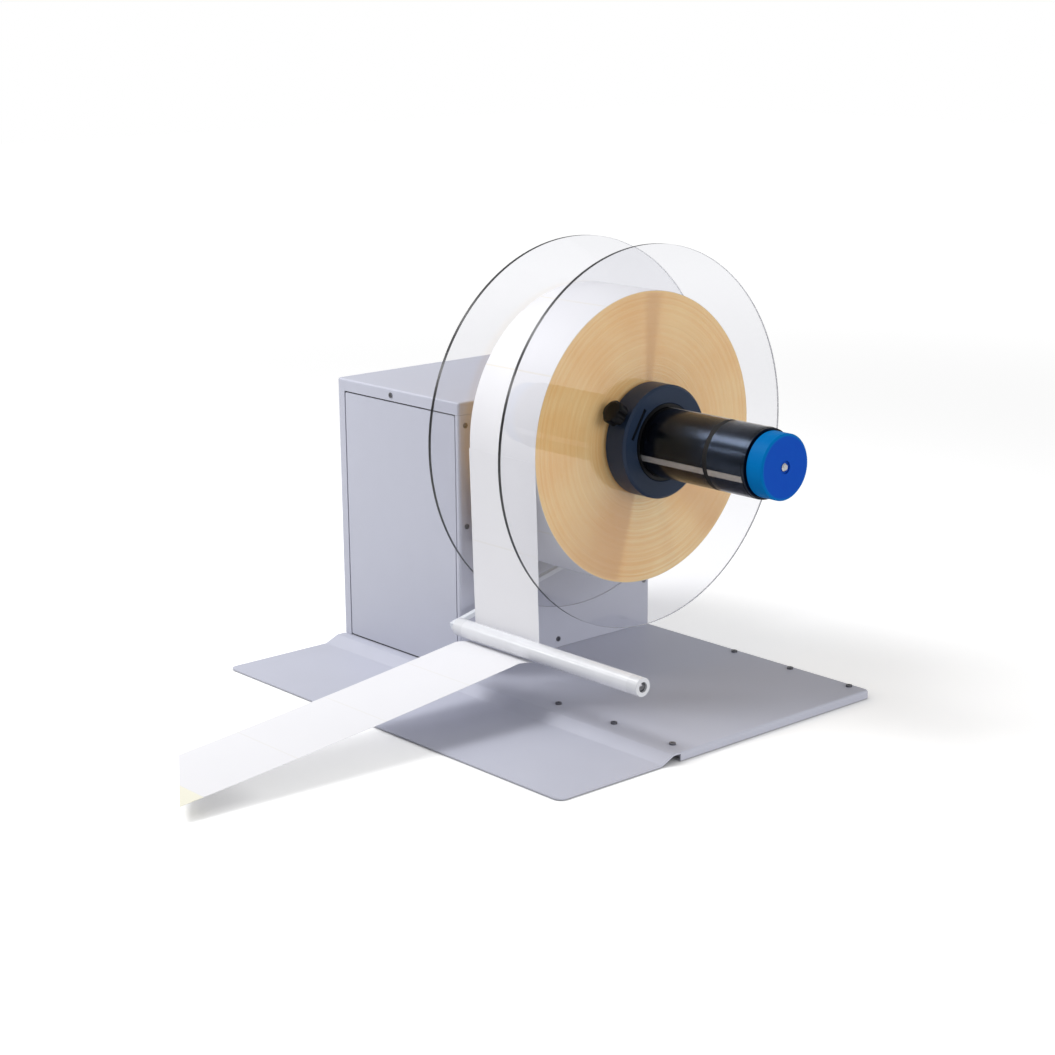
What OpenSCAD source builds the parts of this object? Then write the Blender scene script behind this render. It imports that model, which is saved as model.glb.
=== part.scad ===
// Label unwinder: a sheet-metal cabinet on a base plate whose flat tongue goes under a printer.
// A motor-driven mandrel with two clear discs carries the roll, and a swinging roller arm feels the web.
// +Z is up. The operator stands at -Y. The web leaves towards -X.
// The origin is on the table, straight under the spindle, in the plane of the cabinet's front.

/* [Base] */
// Height of the tray's top above the table
tray_h = 10; // [9:0.5:14]
// Length of tray in front of the cabinet
tray_front = 346; // [320:1:400]
// Thickness of the base sheet
sheet_t = 1.5; // [1:0.1:2]
// Width of the flat tongue that lies on the table
tongue_w = 137; // [100:1:200]
// Width of the ramp between tongue and tray
ramp_w = 17; // [14:1:24]
// Width of the flat ridge between ramp and cabinet
ridge_w = 11.5; // [8:0.5:16]
// Radius of the tongue's outer corners
tongue_corner_r = 9; // [4:1:20]
// Outer radius of the tray's folded edges
fold_r = 3; // [2.2:0.1:3.6]
// Radius of the tray's corners, seen from above
tray_corner_r = 6; // [4:0.5:10]
// Thickness of the thin pads under the tongue
pad_t = 1; // [0.5:0.1:1.5]
// Diameter of the pads under the tongue
pad_d = 16; // [10:1:18]
// Width of each rail under the tray
rail_w = 12; // [10:1:20]
// Diameter of the screws that hold the tray on its rails
base_screw_d = 4; // [3:0.5:5]
// Spacing of those screws
base_screw_pitch = 86; // [60:1:100]

/* [Cabinet] */
// Width of the cabinet
cabinet_w = 291; // [241:1:347]
// Depth of the cabinet
cabinet_d = 218.5; // [181:0.5:260]
// Height of the cabinet's top above the spindle
cabinet_rise = 38.2; // [37.8:0.1:70]
// Thickness of the cover's sheet
cover_t = 1.5; // [1:0.1:1.8]
// Height of the lip round the cover's top
lip_h = 14; // [10:1:16]
// Width of the cover's strip at the rear of each side
stile_w = 13; // [10:1:16]
// Outer radius of the cover's folded edges
cover_fold_r = 2.4; // [2:0.1:3]
// Radius of the cover's upright corners
cover_corner_r = 3.4; // [3.2:0.1:5]
// Thickness of the front panel
front_t = 1.5; // [1:0.1:1.8]
// Depth of the front panel's folded sides
front_return = 6; // [5:0.5:10]
// Thickness of the side panels
side_t = 1.5; // [1:0.1:2]
// How far a side panel lies behind the cover's face
side_recess = 0.2; // [0.1:0.1:0.5]
// Width of the open line round a side panel
side_gap = 1.7; // [1:0.1:2.5]
// Thickness of the chassis sheet
chassis_t = 1.5; // [1:0.1:2]
// Diameter of the cabinet's screws
cabinet_screw_d = 3.5; // [3:0.5:4]

/* [Spindle] */
// Height of the spindle above the table
spindle_h = 280.3; // [250:0.1:335]
// Diameter of the spindle's shaft at its bearings
shaft_d = 20; // [18:1:22]
// Outer diameter of the mandrel's tube
mandrel_d = 75.7; // [74:0.1:75.8]
// Wall of the mandrel's tube
mandrel_wall = 5; // [4:0.5:6]
// How far the mandrel's tube ends from the cabinet's front
mandrel_end = 319.5; // [310:0.5:340]
// Where the inner disc begins, from the cabinet's front
inner_disc_at = 29; // [27:0.5:34]
// Diameter of the two clear discs
disc_d = 420; // [380:1:430]
// Thickness of the clear discs
disc_t = 4; // [3:0.5:5]
// Diameter of the knob at the mandrel's end
knob_d = 70; // [60:1:74]
// Length of that knob
knob_len = 23; // [18:1:30]

/* [Expanding bars] */
// Width of an expanding bar
bar_w = 7.1; // [5:0.1:9]
// How far the bars stand out of the mandrel when they grip
bar_proud = 0.2; // [0.1:0.05:0.2]
// How far the bars draw in when they let go
bar_travel = 0.8; // [0.4:0.1:0.9]
// Direction of the bar nearest the top, from +X towards +Z
bar_angle = 78.2; // [70:0.1:86]
// Width of the rubber bands that draw the bars in
band_w = 6.3; // [4:0.1:8]
// Thickness of those bands
band_t = 1.75; // [1:0.05:1.8]

/* [Roll] */
// Bore of the cardboard core
core_bore = 76.2; // [76.15:0.05:76.4]
// Wall of the cardboard core
core_wall = 5; // [3:0.5:8]
// Width of the roll and of its web
roll_w = 105; // [80:1:120]
// Diameter of the wound labels
roll_d = 320; // [200:1:330]
// Thickness of the web with its labels
web_t = 0.4; // [0.3:0.05:0.5]

/* [Outer flange] */
// Outer diameter of the outer disc's hub
outer_hub_d = 124; // [120:1:134]
// Length of that hub
outer_hub_len = 28; // [28:1:36]
// Outer diameter of the hub's sliding sleeve
sleeve_d = 84; // [83:0.5:85]
// Direction of the star knob, from +X towards +Z
star_angle = 148.5; // [130:0.5:160]
// Diameter of the star knob
star_d = 26; // [20:1:32]
// Height of the star knob's head
star_h = 14; // [8:0.5:18]
// Number of the star knob's lobes
star_lobes = 5; // [3:1:8]

/* [Roller arm] */
// Place of the arm's pivot beside the spindle
pivot_x = 15; // [5:1:25]
// Height of the arm's pivot above the table
pivot_h = 121; // [116:1:126]
// Length of the arm from pivot to roller
arm_len = 186.5; // [183:0.5:195]
// Slope of the arm at rest
arm_slope = 13.5; // [12:0.5:15]
// Height of the arm's flat bar
arm_bar_h = 5; // [4:0.5:8]
// Thickness of the arm's flat bar
arm_bar_t = 6; // [4:0.5:7]
// Diameter of the arm's shaft
pivot_d = 12; // [10:1:14]
// Outer diameter of the roller
roller_d = 20; // [16:0.5:22]
// Wall of the roller's tube
roller_wall = 1.5; // [1:0.1:2]
// Diameter of the roller's axle
axle_d = 8; // [6:0.5:9]
// Where the roller ends, from the cabinet's front
roller_end = 310.5; // [280:0.5:330]

/* [Drive] */
// Outer diameter of the spindle's pulley
driven_pulley_d = 60; // [50:1:62]
// Outer diameter of the motor's pulley
motor_pulley_d = 30; // [26:1:40]
// Number of ribs on the belt
belt_ribs = 6; // [3:1:7]
// Pitch of the belt's ribs
rib_pitch = 2.4; // [2:0.1:2.6]
// Depth of the belt's ribs
rib_h = 1.6; // [1.2:0.1:1.8]
// Place of the motor beside the spindle
motor_x = 62; // [58:1:70]
// Height of the motor's shaft above the table
motor_h = 150; // [140:1:160]

/* [Hidden] */
$fn = 96;

// Overrun of cuts, clearances and small set-backs
over = 1;
fit = 0.05;
play = 0.1;
slack = 0.15;
gap = 0.3;
set_back = 1;
pan_share = 1.75;
pan_h_share = 0.5;

// Base
ramp_bend_r = 7;
feet_inset = 24;
tray_x = cabinet_w / 2;
tray_back = cabinet_d - set_back;
ridge_x = -tray_x - ridge_w;
ramp_x = ridge_x - ramp_w;
tongue_x = ramp_x - tongue_w;
fold_x = -tray_x - sheet_t;
tongue_z = pad_t + sheet_t;
flange_h = tray_h - pad_t;
rail_top = tray_h - sheet_t;
rail_low = tongue_z - sheet_t / 2;
rail_from = -tray_front + fold_r + set_back;
rail_to = tray_back - fold_r - set_back;
base_screw_x = tray_x - fold_r - rail_w / 2;
base_screw_inset = 22.5;
base_screw_count = 3;
base_screw_len = tray_h - rail_low - set_back;

// Cabinet
top_z = spindle_h + cabinet_rise;
lip_z = top_z - lip_h;
panel_low = tray_h + gap;
panel_top = lip_z - gap;
chassis_x = tray_x - max(front_t, side_recess + side_t, cover_t) - play;
chassis_back = cabinet_d - cover_t - play;
chassis_top = top_z - cover_fold_r - gap;
post_w = 18;
window_r = 10;
side_window_front = front_t + post_w;
side_window_back = chassis_back - post_w;
window_low = tray_h + post_w;
window_top = chassis_top - post_w;
side_lift = 2;
side_low = tray_h + side_lift;
side_front = front_return + side_gap;
side_back = cabinet_d - stile_w - side_gap;
side_top = lip_z - side_gap;
side_corner_r = 2;
side_pan = 8;
screw_inset = 9;
front_screw_x = tray_x - screw_inset;
front_screw_rise = 54.5;
front_screw_drop = 12.7;
front_screw_pitch = (panel_top - front_screw_drop - tray_h - front_screw_rise) / 2;
front_screw_low = 9.5;
lip_screw_y = 118;
lip_screw_drop = 8.5;
cabinet_screw_len = 8;
plate_t = 8;
plate_y = front_t + chassis_t;
plate_back = plate_y + plate_t;
plate_x = chassis_x - cover_corner_r - gap;
plate_foot = 30;
plate_low = tray_h + plate_foot;
plate_drop = 2;
plate_top = chassis_top - chassis_t - plate_drop;
hole_clear = 2;

// Power inlet, its rocker and the vents, all in the rear wall
inlet_inset = 49.5;
inlet_rise = 52;
inlet_x = -tray_x + inlet_inset;
inlet_z = tray_h + inlet_rise;
inlet_h = 31;
inlet_rim = 5;
inlet_skin = 2;
inlet_deep = 24;
inlet_flange_t = 3;
socket_w = 24;
socket_h = 17;
socket_cut = 5;
socket_deep = 18;
blade_w = 4;
blade_t = 2;
blade_len = 11;
blade_pitch = 7;
blade_rise = 2;
switch_pitch = 32;
switch_x = inlet_x + switch_pitch;
rocker_w = 15;
rocker_h = 22;
rocker_dip = 3;
rocker_rise = 4.6;
rocker_tilt = 8;
rocker_pin_d = 3;
rocker_pin = 1.5;
pocket_deep = 8.5;
inlet_left = inlet_x - socket_w / 2 - inlet_rim;
inlet_right = switch_x + rocker_w / 2 + inlet_rim;
vent_count = 8;
vent_w = 4;
vent_len = 60;
vent_pitch = 12;
vent_inset = 121.5;
vent_drop = 20;
vent_x = tray_x - vent_inset;
vent_z = window_top - vent_len - vent_drop;

// Spindle, counted outwards from the cabinet's front
bearing_d = 42;
bearing_w = 12;
outer_race_wall = 3;
inner_race_wall = 3;
race_groove = 1;
ball_count = 9;
inner_race_d = shaft_d + 2 * inner_race_wall;
outer_race_id = bearing_d - 2 * outer_race_wall;
ball_pitch_r = (outer_race_id + inner_race_d) / 4;
groove_r = (outer_race_id - inner_race_d) / 4 + race_groove;
housing_wall = 3.5;
housing_flange_w = 9;
housing_bolt_inset = 4.5;
housing_d = bearing_d + 2 * housing_wall;
housing_flange_d = housing_d + 2 * housing_flange_w;
housing_flange_t = 8;
housing_end = 75;
bolt_d = 5;
housing_bolt_r = housing_d / 2 + housing_bolt_inset;
bearing_inset = 2;
bearing_front = plate_y + bearing_inset;
bearing_rear = housing_end - bearing_w;
shoulder_h = 2;
shoulder_d = shaft_d + 2 * shoulder_h;
register_d = 30;
front_hole_d = shoulder_d + 2 * hole_clear;
rib_start = 2;
pulley_flange_t = 1.5;
pulley_clear = 6;
pulley_at = housing_end + pulley_clear;
belt_w = belt_ribs * rib_pitch;
pulley_len = belt_w + 2 * pulley_flange_t + 2 * gap;
shaft_tail = 4;
shaft_back = pulley_at + pulley_len + shaft_tail;
inner_disc_end = inner_disc_at + disc_t;
hub_flange_d = 110;
hub_flange_t = 8;
hub_boss_d = 44;
hub_boss_len = 13;
hub_screw_r = 27;
hub_screw_count = 4;
end_flange_t = 12;
hub_screw_floor = 4;
hub_screw_len = hub_flange_t + disc_t + end_flange_t - hub_screw_floor;
stop_ring_t = 4;
stop_ring_d = 96;
mandrel_id = mandrel_d - 2 * mandrel_wall;
end_ring_t = 3.5;
end_ring_step = 0.35;
end_ring_d = mandrel_d - 2 * end_ring_step;
end_ring_spigot = 7;
rod_d = 12;
rod_inset = 4;
rod_start = inner_disc_end + rod_inset;
slot_inset = 2;
slot_start = inner_disc_end + end_flange_t + slot_inset;

// Expanding bars and the cones that drive them
bar_r = mandrel_d / 2 + bar_proud;
bar_depth = 2;
bar_root = mandrel_id / 2 - bar_depth;
bar_start = slot_start + gap;
bar_end = mandrel_end - gap;
bar_tail_r = mandrel_id / 2 + bar_travel + gap;
bar_tail = mandrel_end - end_ring_spigot - gap;
cone_share = 0.4;
cone_len = 20;
cone_r = bar_root - bar_travel - gap;
cone_small_r = cone_r - cone_share * cone_len;
rear_cone_inset = 16;
front_cone_inset = 15;
rear_cone_at = slot_start + rear_cone_inset;
front_cone_end = mandrel_end - front_cone_inset;
foot_inset = 2;
band_near = 268.1;
band_far = 88;
band_bed_r = mandrel_d / 2 - band_t - play;

// Roll
roll_start = inner_disc_end + stop_ring_t;
roll_end = roll_start + roll_w;
core_od = core_bore + 2 * core_wall;

// Outer flange
flange_start = roll_end + gap;
outer_disc_end = flange_start + disc_t;
outer_hub_end = outer_disc_end + outer_hub_len;
sleeve_clear = 0.25;
sleeve_id = 2 * (bar_r + sleeve_clear);
hub_bevel = 2.5;
star_at = outer_disc_end + outer_hub_len / 2;
star_screw_d = 8;
star_neck_d = 14;
star_neck = 2.5;
star_lift = 4.5;
star_start = outer_hub_d / 2 + star_lift;
star_scallop_r = 5;
star_dome = 2;
slot_r = 47;
slot_len = 36;
slot_t = 4;
nut_deep = 23;
nut_sink = 1.8;
shoe_d = 9.6;
shoe_top = sleeve_d / 2 - set_back;
disc_screw_d = 4;
disc_screw_r = 54;
disc_screw_count = 4;
disc_screw_len = 14;

// Knob at the mandrel's end
knob_start = mandrel_end + end_ring_t + gap;
knob_end = knob_start + knob_len;
knob_bevel = 1.6;
knob_dimple_d = 14;
knob_dimple = 2;
knob_wall = 6;
knob_seat = knob_end - knob_dimple - knob_wall;
knob_screw_d = 5;
knob_screw_len = 14;

// Roller arm
arm_start = 14;
arm_end = arm_start + arm_bar_t;
arm_eye_d = 13;
arm_boss_d = 24;
arm_tip = 6.5;
roller_drop = 3.5;
roller_x = pivot_x - arm_len * cos(arm_slope) + roller_drop * sin(arm_slope);
roller_z = pivot_h - arm_len * sin(arm_slope) - roller_drop * cos(arm_slope);
roller_start = arm_end + set_back;
roller_cap_len = 15;
roller_spigot = 8;
roller_recess_d = 11;
roller_recess = 4;
axle_end = roller_end - roller_recess + gap;
axle_screw_d = 4;
axle_screw_len = 12;
axle_head_d = 10;
axle_head_h = 2.6;
dancer_wall = 7;
dancer_tube_d = pivot_d + 2 * dancer_wall;
dancer_flange_d = 60;
dancer_flange_t = 6;
dancer_tube_len = 23;
lever_clear = 2;
dancer_tube_end = plate_back + dancer_tube_len;
lever_at = dancer_tube_end + lever_clear;
lever_t = 6;
lever_w = 8;
lever_len = 28;
lever_hub_d = 22;
stop_r = 24;
stop_d = 5;
swing_down = 12;
swing_up = 16;
stop_angle = asin((lever_w / 2 + stop_d / 2 + gap) / stop_r);
sensor_clear = 8;
sensor_plate_at = lever_at + lever_t + sensor_clear;
sensor_plate_t = 2;
sensor_d = 24;
sensor_len = 12;
sensor_shaft_d = 6;
spring_wire = 2;
spring_turns = 7;
spring_at = plate_back + dancer_flange_t + set_back;

// Drive
belt_lift = 0.5;
belt_back_t = 1.4;
pulley_rim = 3;
driven_r = driven_pulley_d / 2;
motor_r = motor_pulley_d / 2;
motor_shaft_d = 10;
motor_shaft_in = 12;
gearbox_d = 60;
motor_d = 52;
motor_edge = 2;
bracket_t = 4;
bracket_clear = 8;
bracket_at = pulley_at + pulley_len + bracket_clear;
motor_clear = 21.9;
gearbox_share = 0.55;
gear_motor_len = chassis_back - motor_clear - bracket_at - bracket_t;
gearbox_len = gearbox_share * gear_motor_len;
motor_len = gear_motor_len - gearbox_len;
bracket_w = 80;
bracket_rise = 40;
bracket_foot = 60;
motor_bolt_r = 23;
floor_z = tray_h + chassis_t;

// Web: from the roll's left side across to the roller's right side, round it and away to the left
web_a = roll_d / 2 + gap + web_t / 2;
web_b = roller_d / 2 + gap + web_t / 2;
reach = norm([roller_x, roller_z - spindle_h]);
leave_angle = atan2(roller_z - spindle_h, roller_x) - acos((web_a + web_b) / reach);
meet_angle = leave_angle + 180;
run_slope = 7.7;
sag_share = 0.02;
run_far = 376;
run_near = 443;
run_steps = 16;
wrap_steps = 14;
run_from = [roller_x + web_b * sin(run_slope), roller_z - web_b * cos(run_slope)];

// Electric pieces on the cabinet's floor
supply_size = [112, 62, 38];
supply_clear = 26.9;
floor_inset = 24;
supply_y = chassis_back - supply_clear - supply_size[1];
supply_at = [-tray_x + floor_inset, supply_y, floor_z];
supply_shelf = 14;
board_w = 104;
board_t = 1.6;
board_clear = 20;
board_rise = 8;
board_size = [board_w, supply_y - board_clear - floor_inset, board_t];
board_at = [-tray_x + floor_inset, floor_inset, floor_z + board_rise];
pillar_d = 6;
pillar_inset = 6;
chip_size = [16, 16, 3];
coil_d = 14;
coil_h = 18;

// Shapes used by many pieces

// Local z runs outwards from the cabinet's front, local y upwards
module out_from(x, z) {
    translate([x, 0, z]) rotate([90, 0, 0]) children();
}

module on_spindle() {
    out_from(0, spindle_h) children();
}

module on_pivot() {
    out_from(pivot_x, pivot_h) children();
}

module on_roller() {
    out_from(roller_x, roller_z) children();
}

// Local z runs out along the star knob's screw
module on_star() {
    on_spindle() rotate([0, 0, star_angle]) translate([0, 0, star_at]) rotate([0, 90, 0]) children();
}

module rod(d, from, to) {
    translate([0, 0, from]) cylinder(d = d, h = to - from);
}

module ring(od, id, from, to) {
    difference() {
        rod(od, from, to);
        rod(id, from - over, to + over);
    }
}

module turned(points) {
    rotate_extrude() polygon(points);
}

module copies_round(count, r, first = 0) {
    for (i = [0 : count - 1]) rotate([0, 0, first + 360 * i / count]) translate([r, 0, 0]) children();
}

// A pan-head screw that points along -z, with its head's seat at z = 0
module pan_screw(d, length) {
    head_r = pan_share * d / 2;
    head_h = pan_h_share * d;
    translate([0, 0, -length]) cylinder(d = d, h = length);
    turned([[0, 0], [head_r, 0], [head_r, head_h / 2], [0.7 * head_r, head_h], [0, head_h]]);
}

// A countersunk screw that points along +z from its flush head, or the hole for it
module flush_screw(d, length, grow = 0) {
    head_r = d + grow;
    turned([[0, -grow], [head_r, -grow], [head_r, 0], [d / 2 + grow, d / 2], [d / 2 + grow, length], [0, length]]);
}

module round_rect(w, d, r) {
    translate([r, 0]) square([w - 2 * r, d]);
    translate([0, r]) square([w, d - 2 * r]);
    for (x = [r, w - r], y = [r, d - r]) translate([x, y]) circle(r = r);
}

// A straight slot with round ends, standing up from its lower end
module stadium(w, length) {
    translate([-w / 2, w / 2]) square([w, length - w]);
    for (y = [w / 2, length - w / 2]) translate([0, y]) circle(d = w);
}

// Section of a folded edge: the flat runs in from x = 0, the flange hangs down to z = -h
module fold_section(inward, h, t, r) {
    translate([-inward, -t]) square([inward - r, t]);
    translate([-r, -r]) difference() {
        intersection() {
            circle(r = r);
            square(r);
        }
        circle(r = r - t);
    }
    translate([-t, -h]) square([t, h - r]);
}

module fold_edge(length, inward, h, t, r) {
    translate([0, length, 0]) rotate([90, 0, 0]) linear_extrude(length) fold_section(inward, h, t, r);
}

module fold_corner(corner_r, h, t, r) {
    translate([-corner_r, -corner_r, 0]) rotate_extrude(angle = 90)
        translate([corner_r, 0]) fold_section(corner_r, h, t, r);
}

// A strip of one thickness along a path in the plane
function path_dir(p, i) =
    let (a = p[max(i - 1, 0)], b = p[min(i + 1, len(p) - 1)]) (b - a) / norm(b - a);
function path_side(p, i, off) = p[i] + off * [-path_dir(p, i)[1], path_dir(p, i)[0]];
module strip(p, t) {
    polygon(concat(
        [for (i = [0 : len(p) - 1]) path_side(p, i, t / 2)],
        [for (i = [len(p) - 1 : -1 : 0]) path_side(p, i, -t / 2)]
    ));
}
function arc_points(c, r, a, b, steps) =
    [for (i = [0 : steps]) let (s = a + (b - a) * i / steps) c + r * [cos(s), sin(s)]];

// Base plate: tongue, ramp and tray in one folded sheet
ramp_angle = atan2(tray_h - tongue_z, ramp_w);
bend_run = ramp_bend_r * tan(ramp_angle / 2);
mid_low = tongue_z - sheet_t / 2;
mid_high = tray_h - sheet_t / 2;
base_path = concat(
    [[tongue_x, mid_low]],
    arc_points([ramp_x - bend_run, mid_low + ramp_bend_r], ramp_bend_r, -90, -90 + ramp_angle, 6),
    arc_points([ridge_x + bend_run, mid_high - ramp_bend_r], ramp_bend_r, 90 + ramp_angle, 90, 6),
    [[fold_x + set_back, mid_high]]
);

module base_screw_places() {
    for (side = [-1, 1], i = [0 : base_screw_count - 1])
        translate([side * base_screw_x, -tray_front + base_screw_inset + i * base_screw_pitch, tray_h])
            children();
}

module base_plate() {
    depth = tray_front + tray_back;
    flat_x = tray_x - tray_corner_r;
    flat_y = depth - 2 * tray_corner_r;
    color([0.72, 0.73, 0.79]) difference() {
        union() {
            intersection() {
                translate([0, tray_back, 0]) rotate([90, 0, 0]) linear_extrude(depth) strip(base_path, sheet_t);
                translate([tongue_x, -tray_front, 0]) linear_extrude(tray_h + over)
                    round_rect(2 * tongue_w + ramp_w, depth, tongue_corner_r);
            }
            translate([fold_x, -tray_front + tray_corner_r, rail_top]) cube([flat_x - fold_x, flat_y, sheet_t]);
            translate([tray_x, -tray_front + tray_corner_r, tray_h])
                fold_edge(flat_y, tray_corner_r, flange_h, sheet_t, fold_r);
            translate([fold_x, -tray_front, tray_h]) rotate([0, 0, -90])
                fold_edge(flat_x - fold_x, tray_corner_r, flange_h, sheet_t, fold_r);
            translate([flat_x, tray_back, tray_h]) rotate([0, 0, 90])
                fold_edge(flat_x - fold_x, tray_corner_r, flange_h, sheet_t, fold_r);
            translate([tray_x, tray_back, tray_h]) fold_corner(tray_corner_r, flange_h, sheet_t, fold_r);
            translate([tray_x, -tray_front, tray_h]) rotate([0, 0, -90])
                fold_corner(tray_corner_r, flange_h, sheet_t, fold_r);
        }
        base_screw_places() rod(base_screw_d + 2 * play, -sheet_t - over, over);
    }
}

module base_rails() {
    color([0.55, 0.56, 0.6]) difference() {
        union() {
            for (side = [-1, 1]) translate([side * base_screw_x - rail_w / 2, rail_from, rail_low])
                cube([rail_w, rail_to - rail_from, rail_top - rail_low]);
            translate([-base_screw_x, -rail_w / 2, rail_low]) cube([2 * base_screw_x, rail_w, rail_top - rail_low]);
        }
        base_screw_places() rod(base_screw_d + 2 * play, -tray_h, over);
    }
}

module rubber_feet() {
    color([0.12, 0.12, 0.13]) {
        cylinder(d = rail_w, h = rail_low);
        for (side = [-1, 1], y = [-tray_front + feet_inset, -tray_front / 2, tray_back - feet_inset])
            translate([side * base_screw_x, y, 0]) cylinder(d = rail_w, h = rail_low);
        for (x = [tongue_x + feet_inset, ramp_x - feet_inset], y = [-tray_front + feet_inset, tray_back - feet_inset])
            translate([x, y, 0]) cylinder(d = pad_d, h = pad_t);
    }
}

module base_screws() {
    color([0.3, 0.3, 0.34]) base_screw_places() pan_screw(base_screw_d, base_screw_len);
}

// Cabinet

// The cabinet's outline in plan, set in by some amount on every side
module cabinet_plan(inset, r) {
    translate([-tray_x + inset, inset]) round_rect(cabinet_w - 2 * inset, cabinet_d - 2 * inset, r);
}

module front_screw_places() {
    for (side = [-1, 1], i = [0 : 2])
        out_from(side * front_screw_x, tray_h + front_screw_rise + i * front_screw_pitch) children();
    out_from(0, tray_h + front_screw_low) children();
}

module rear_screw_places() {
    for (side = [-1, 1], i = [0 : 2])
        translate([side * front_screw_x, cabinet_d, tray_h + front_screw_rise + i * front_screw_pitch])
            rotate([-90, 0, 0]) children();
}

module lip_screw_places() {
    for (side = [-1, 1])
        translate([side * tray_x, lip_screw_y, top_z - lip_screw_drop]) rotate([0, side * 90, 0]) children();
}

module screw_hole(depth) {
    rod(cabinet_screw_d + 2 * play, -depth, over);
}

module chassis() {
    w = 2 * chassis_x;
    d = chassis_back - front_t;
    inner_x = chassis_x - chassis_t;
    hole_x = chassis_x - post_w;
    hole_h = window_top - window_low;
    color([0.5, 0.51, 0.54]) difference() {
        translate([-chassis_x, front_t, tray_h]) linear_extrude(chassis_top - tray_h)
            round_rect(w, d, cover_corner_r);
        translate([-inner_x, plate_y, floor_z]) linear_extrude(chassis_top - chassis_t - floor_z)
            round_rect(2 * inner_x, d - 2 * chassis_t, cover_corner_r - chassis_t);
        translate([-hole_x, -over, window_low]) translate([0, cabinet_d, 0]) rotate([90, 0, 0])
            linear_extrude(cabinet_d) round_rect(2 * hole_x, hole_h, window_r);
        translate([-tray_x, side_window_front, window_low]) rotate([90, 0, 90])
            linear_extrude(cabinet_w) round_rect(side_window_back - side_window_front, hole_h, window_r);
        translate([-hole_x, side_window_front, chassis_top - over - chassis_t])
            linear_extrude(2 * over + chassis_t) round_rect(2 * hole_x, side_window_back - side_window_front, window_r);
        front_screw_places() screw_hole(plate_back);
        rear_screw_places() screw_hole(plate_back);
        lip_screw_places() screw_hole(plate_back);
        bracket_bolt_places() rod(bolt_d + 2 * play, -bracket_t - chassis_t - over, 0);
    }
}

module front_panel() {
    color([0.58, 0.58, 0.63]) difference() {
        translate([0, 0, panel_low]) linear_extrude(panel_top - panel_low) intersection() {
            difference() {
                cabinet_plan(0, cover_corner_r);
                cabinet_plan(front_t, cover_corner_r - front_t);
            }
            translate([-tray_x - over, -over]) square([cabinet_w + 2 * over, front_return + over]);
        }
        on_spindle() rod(front_hole_d, -plate_y, over);
        on_pivot() rod(pivot_d + 2 * hole_clear, -plate_y, over);
        front_screw_places() screw_hole(plate_back);
    }
}

module outer_cover() {
    r = cover_corner_r;
    flat_w = cabinet_w - 2 * r;
    flat_d = cabinet_d - 2 * r;
    rear_h = top_z - panel_low;
    color([0.78, 0.79, 0.84]) difference() {
        union() {
            translate([-flat_w / 2, r, top_z - cover_t]) cube([flat_w, flat_d, cover_t]);
            translate([tray_x, r, top_z]) fold_edge(flat_d, r, lip_h, cover_t, cover_fold_r);
            translate([-tray_x, cabinet_d - r, top_z]) rotate([0, 0, 180])
                fold_edge(flat_d, r, lip_h, cover_t, cover_fold_r);
            translate([-flat_w / 2, 0, top_z]) rotate([0, 0, -90])
                fold_edge(flat_w, r, lip_h, cover_t, cover_fold_r);
            translate([flat_w / 2, cabinet_d, top_z]) rotate([0, 0, 90])
                fold_edge(flat_w, r, rear_h, cover_t, cover_fold_r);
            translate([tray_x, cabinet_d, top_z]) fold_corner(r, rear_h, cover_t, cover_fold_r);
            translate([-tray_x, cabinet_d, top_z]) rotate([0, 0, 90]) fold_corner(r, rear_h, cover_t, cover_fold_r);
            translate([-tray_x, 0, top_z]) rotate([0, 0, 180]) fold_corner(r, lip_h, cover_t, cover_fold_r);
            translate([tray_x, 0, top_z]) rotate([0, 0, -90]) fold_corner(r, lip_h, cover_t, cover_fold_r);
            for (x = [-tray_x, tray_x - cover_t]) translate([x, cabinet_d - stile_w, panel_low])
                cube([cover_t, stile_w - r, lip_z - panel_low]);
        }
        rear_screw_places() screw_hole(plate_back);
        lip_screw_places() screw_hole(plate_back);
        inlet_body(cabinet_d - plate_back, cabinet_d + over, play);
        for (i = [0 : vent_count - 1])
            translate([vent_x + i * vent_pitch, cabinet_d + over, vent_z]) rotate([90, 0, 0])
                linear_extrude(cover_t + 2 * over) stadium(vent_w, vent_len);
    }
}

// A flat panel with a shallow pan behind it that enters the chassis's window
module side_panel() {
    pan_y = side_window_front + gap;
    pan_z = window_low + gap;
    pan_w = side_window_back - side_window_front - 2 * gap;
    pan_h = window_top - window_low - 2 * gap;
    face_x = tray_x - side_recess;
    color([0.7, 0.71, 0.78]) {
        translate([face_x - side_t, side_front, side_low]) rotate([90, 0, 90]) linear_extrude(side_t)
            round_rect(side_back - side_front, side_top - side_low, side_corner_r);
        translate([face_x - side_t - side_pan, pan_y, pan_z]) rotate([90, 0, 90]) linear_extrude(side_pan)
            difference() {
                round_rect(pan_w, pan_h, window_r - gap);
                translate([side_t, side_t])
                    round_rect(pan_w - 2 * side_t, pan_h - 2 * side_t, window_r - gap - side_t);
            }
    }
}

module right_side_panel() {
    side_panel();
}

module left_side_panel() {
    mirror([1, 0, 0]) side_panel();
}

module cabinet_screws() {
    color([0.35, 0.35, 0.4]) {
        front_screw_places() pan_screw(cabinet_screw_d, cabinet_screw_len);
        rear_screw_places() pan_screw(cabinet_screw_d, cabinet_screw_len);
        lip_screw_places() pan_screw(cabinet_screw_d, cabinet_screw_len);
    }
}

// Power inlet and switch in one moulded insert

module inlet_body(from, to, grow) {
    z = inlet_z - inlet_h / 2 + inlet_skin;
    translate([inlet_left + inlet_skin - grow, from, z - grow])
        cube([inlet_right - inlet_left - 2 * inlet_skin + 2 * grow, to - from, inlet_h - 2 * inlet_skin + 2 * grow]);
}

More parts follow.
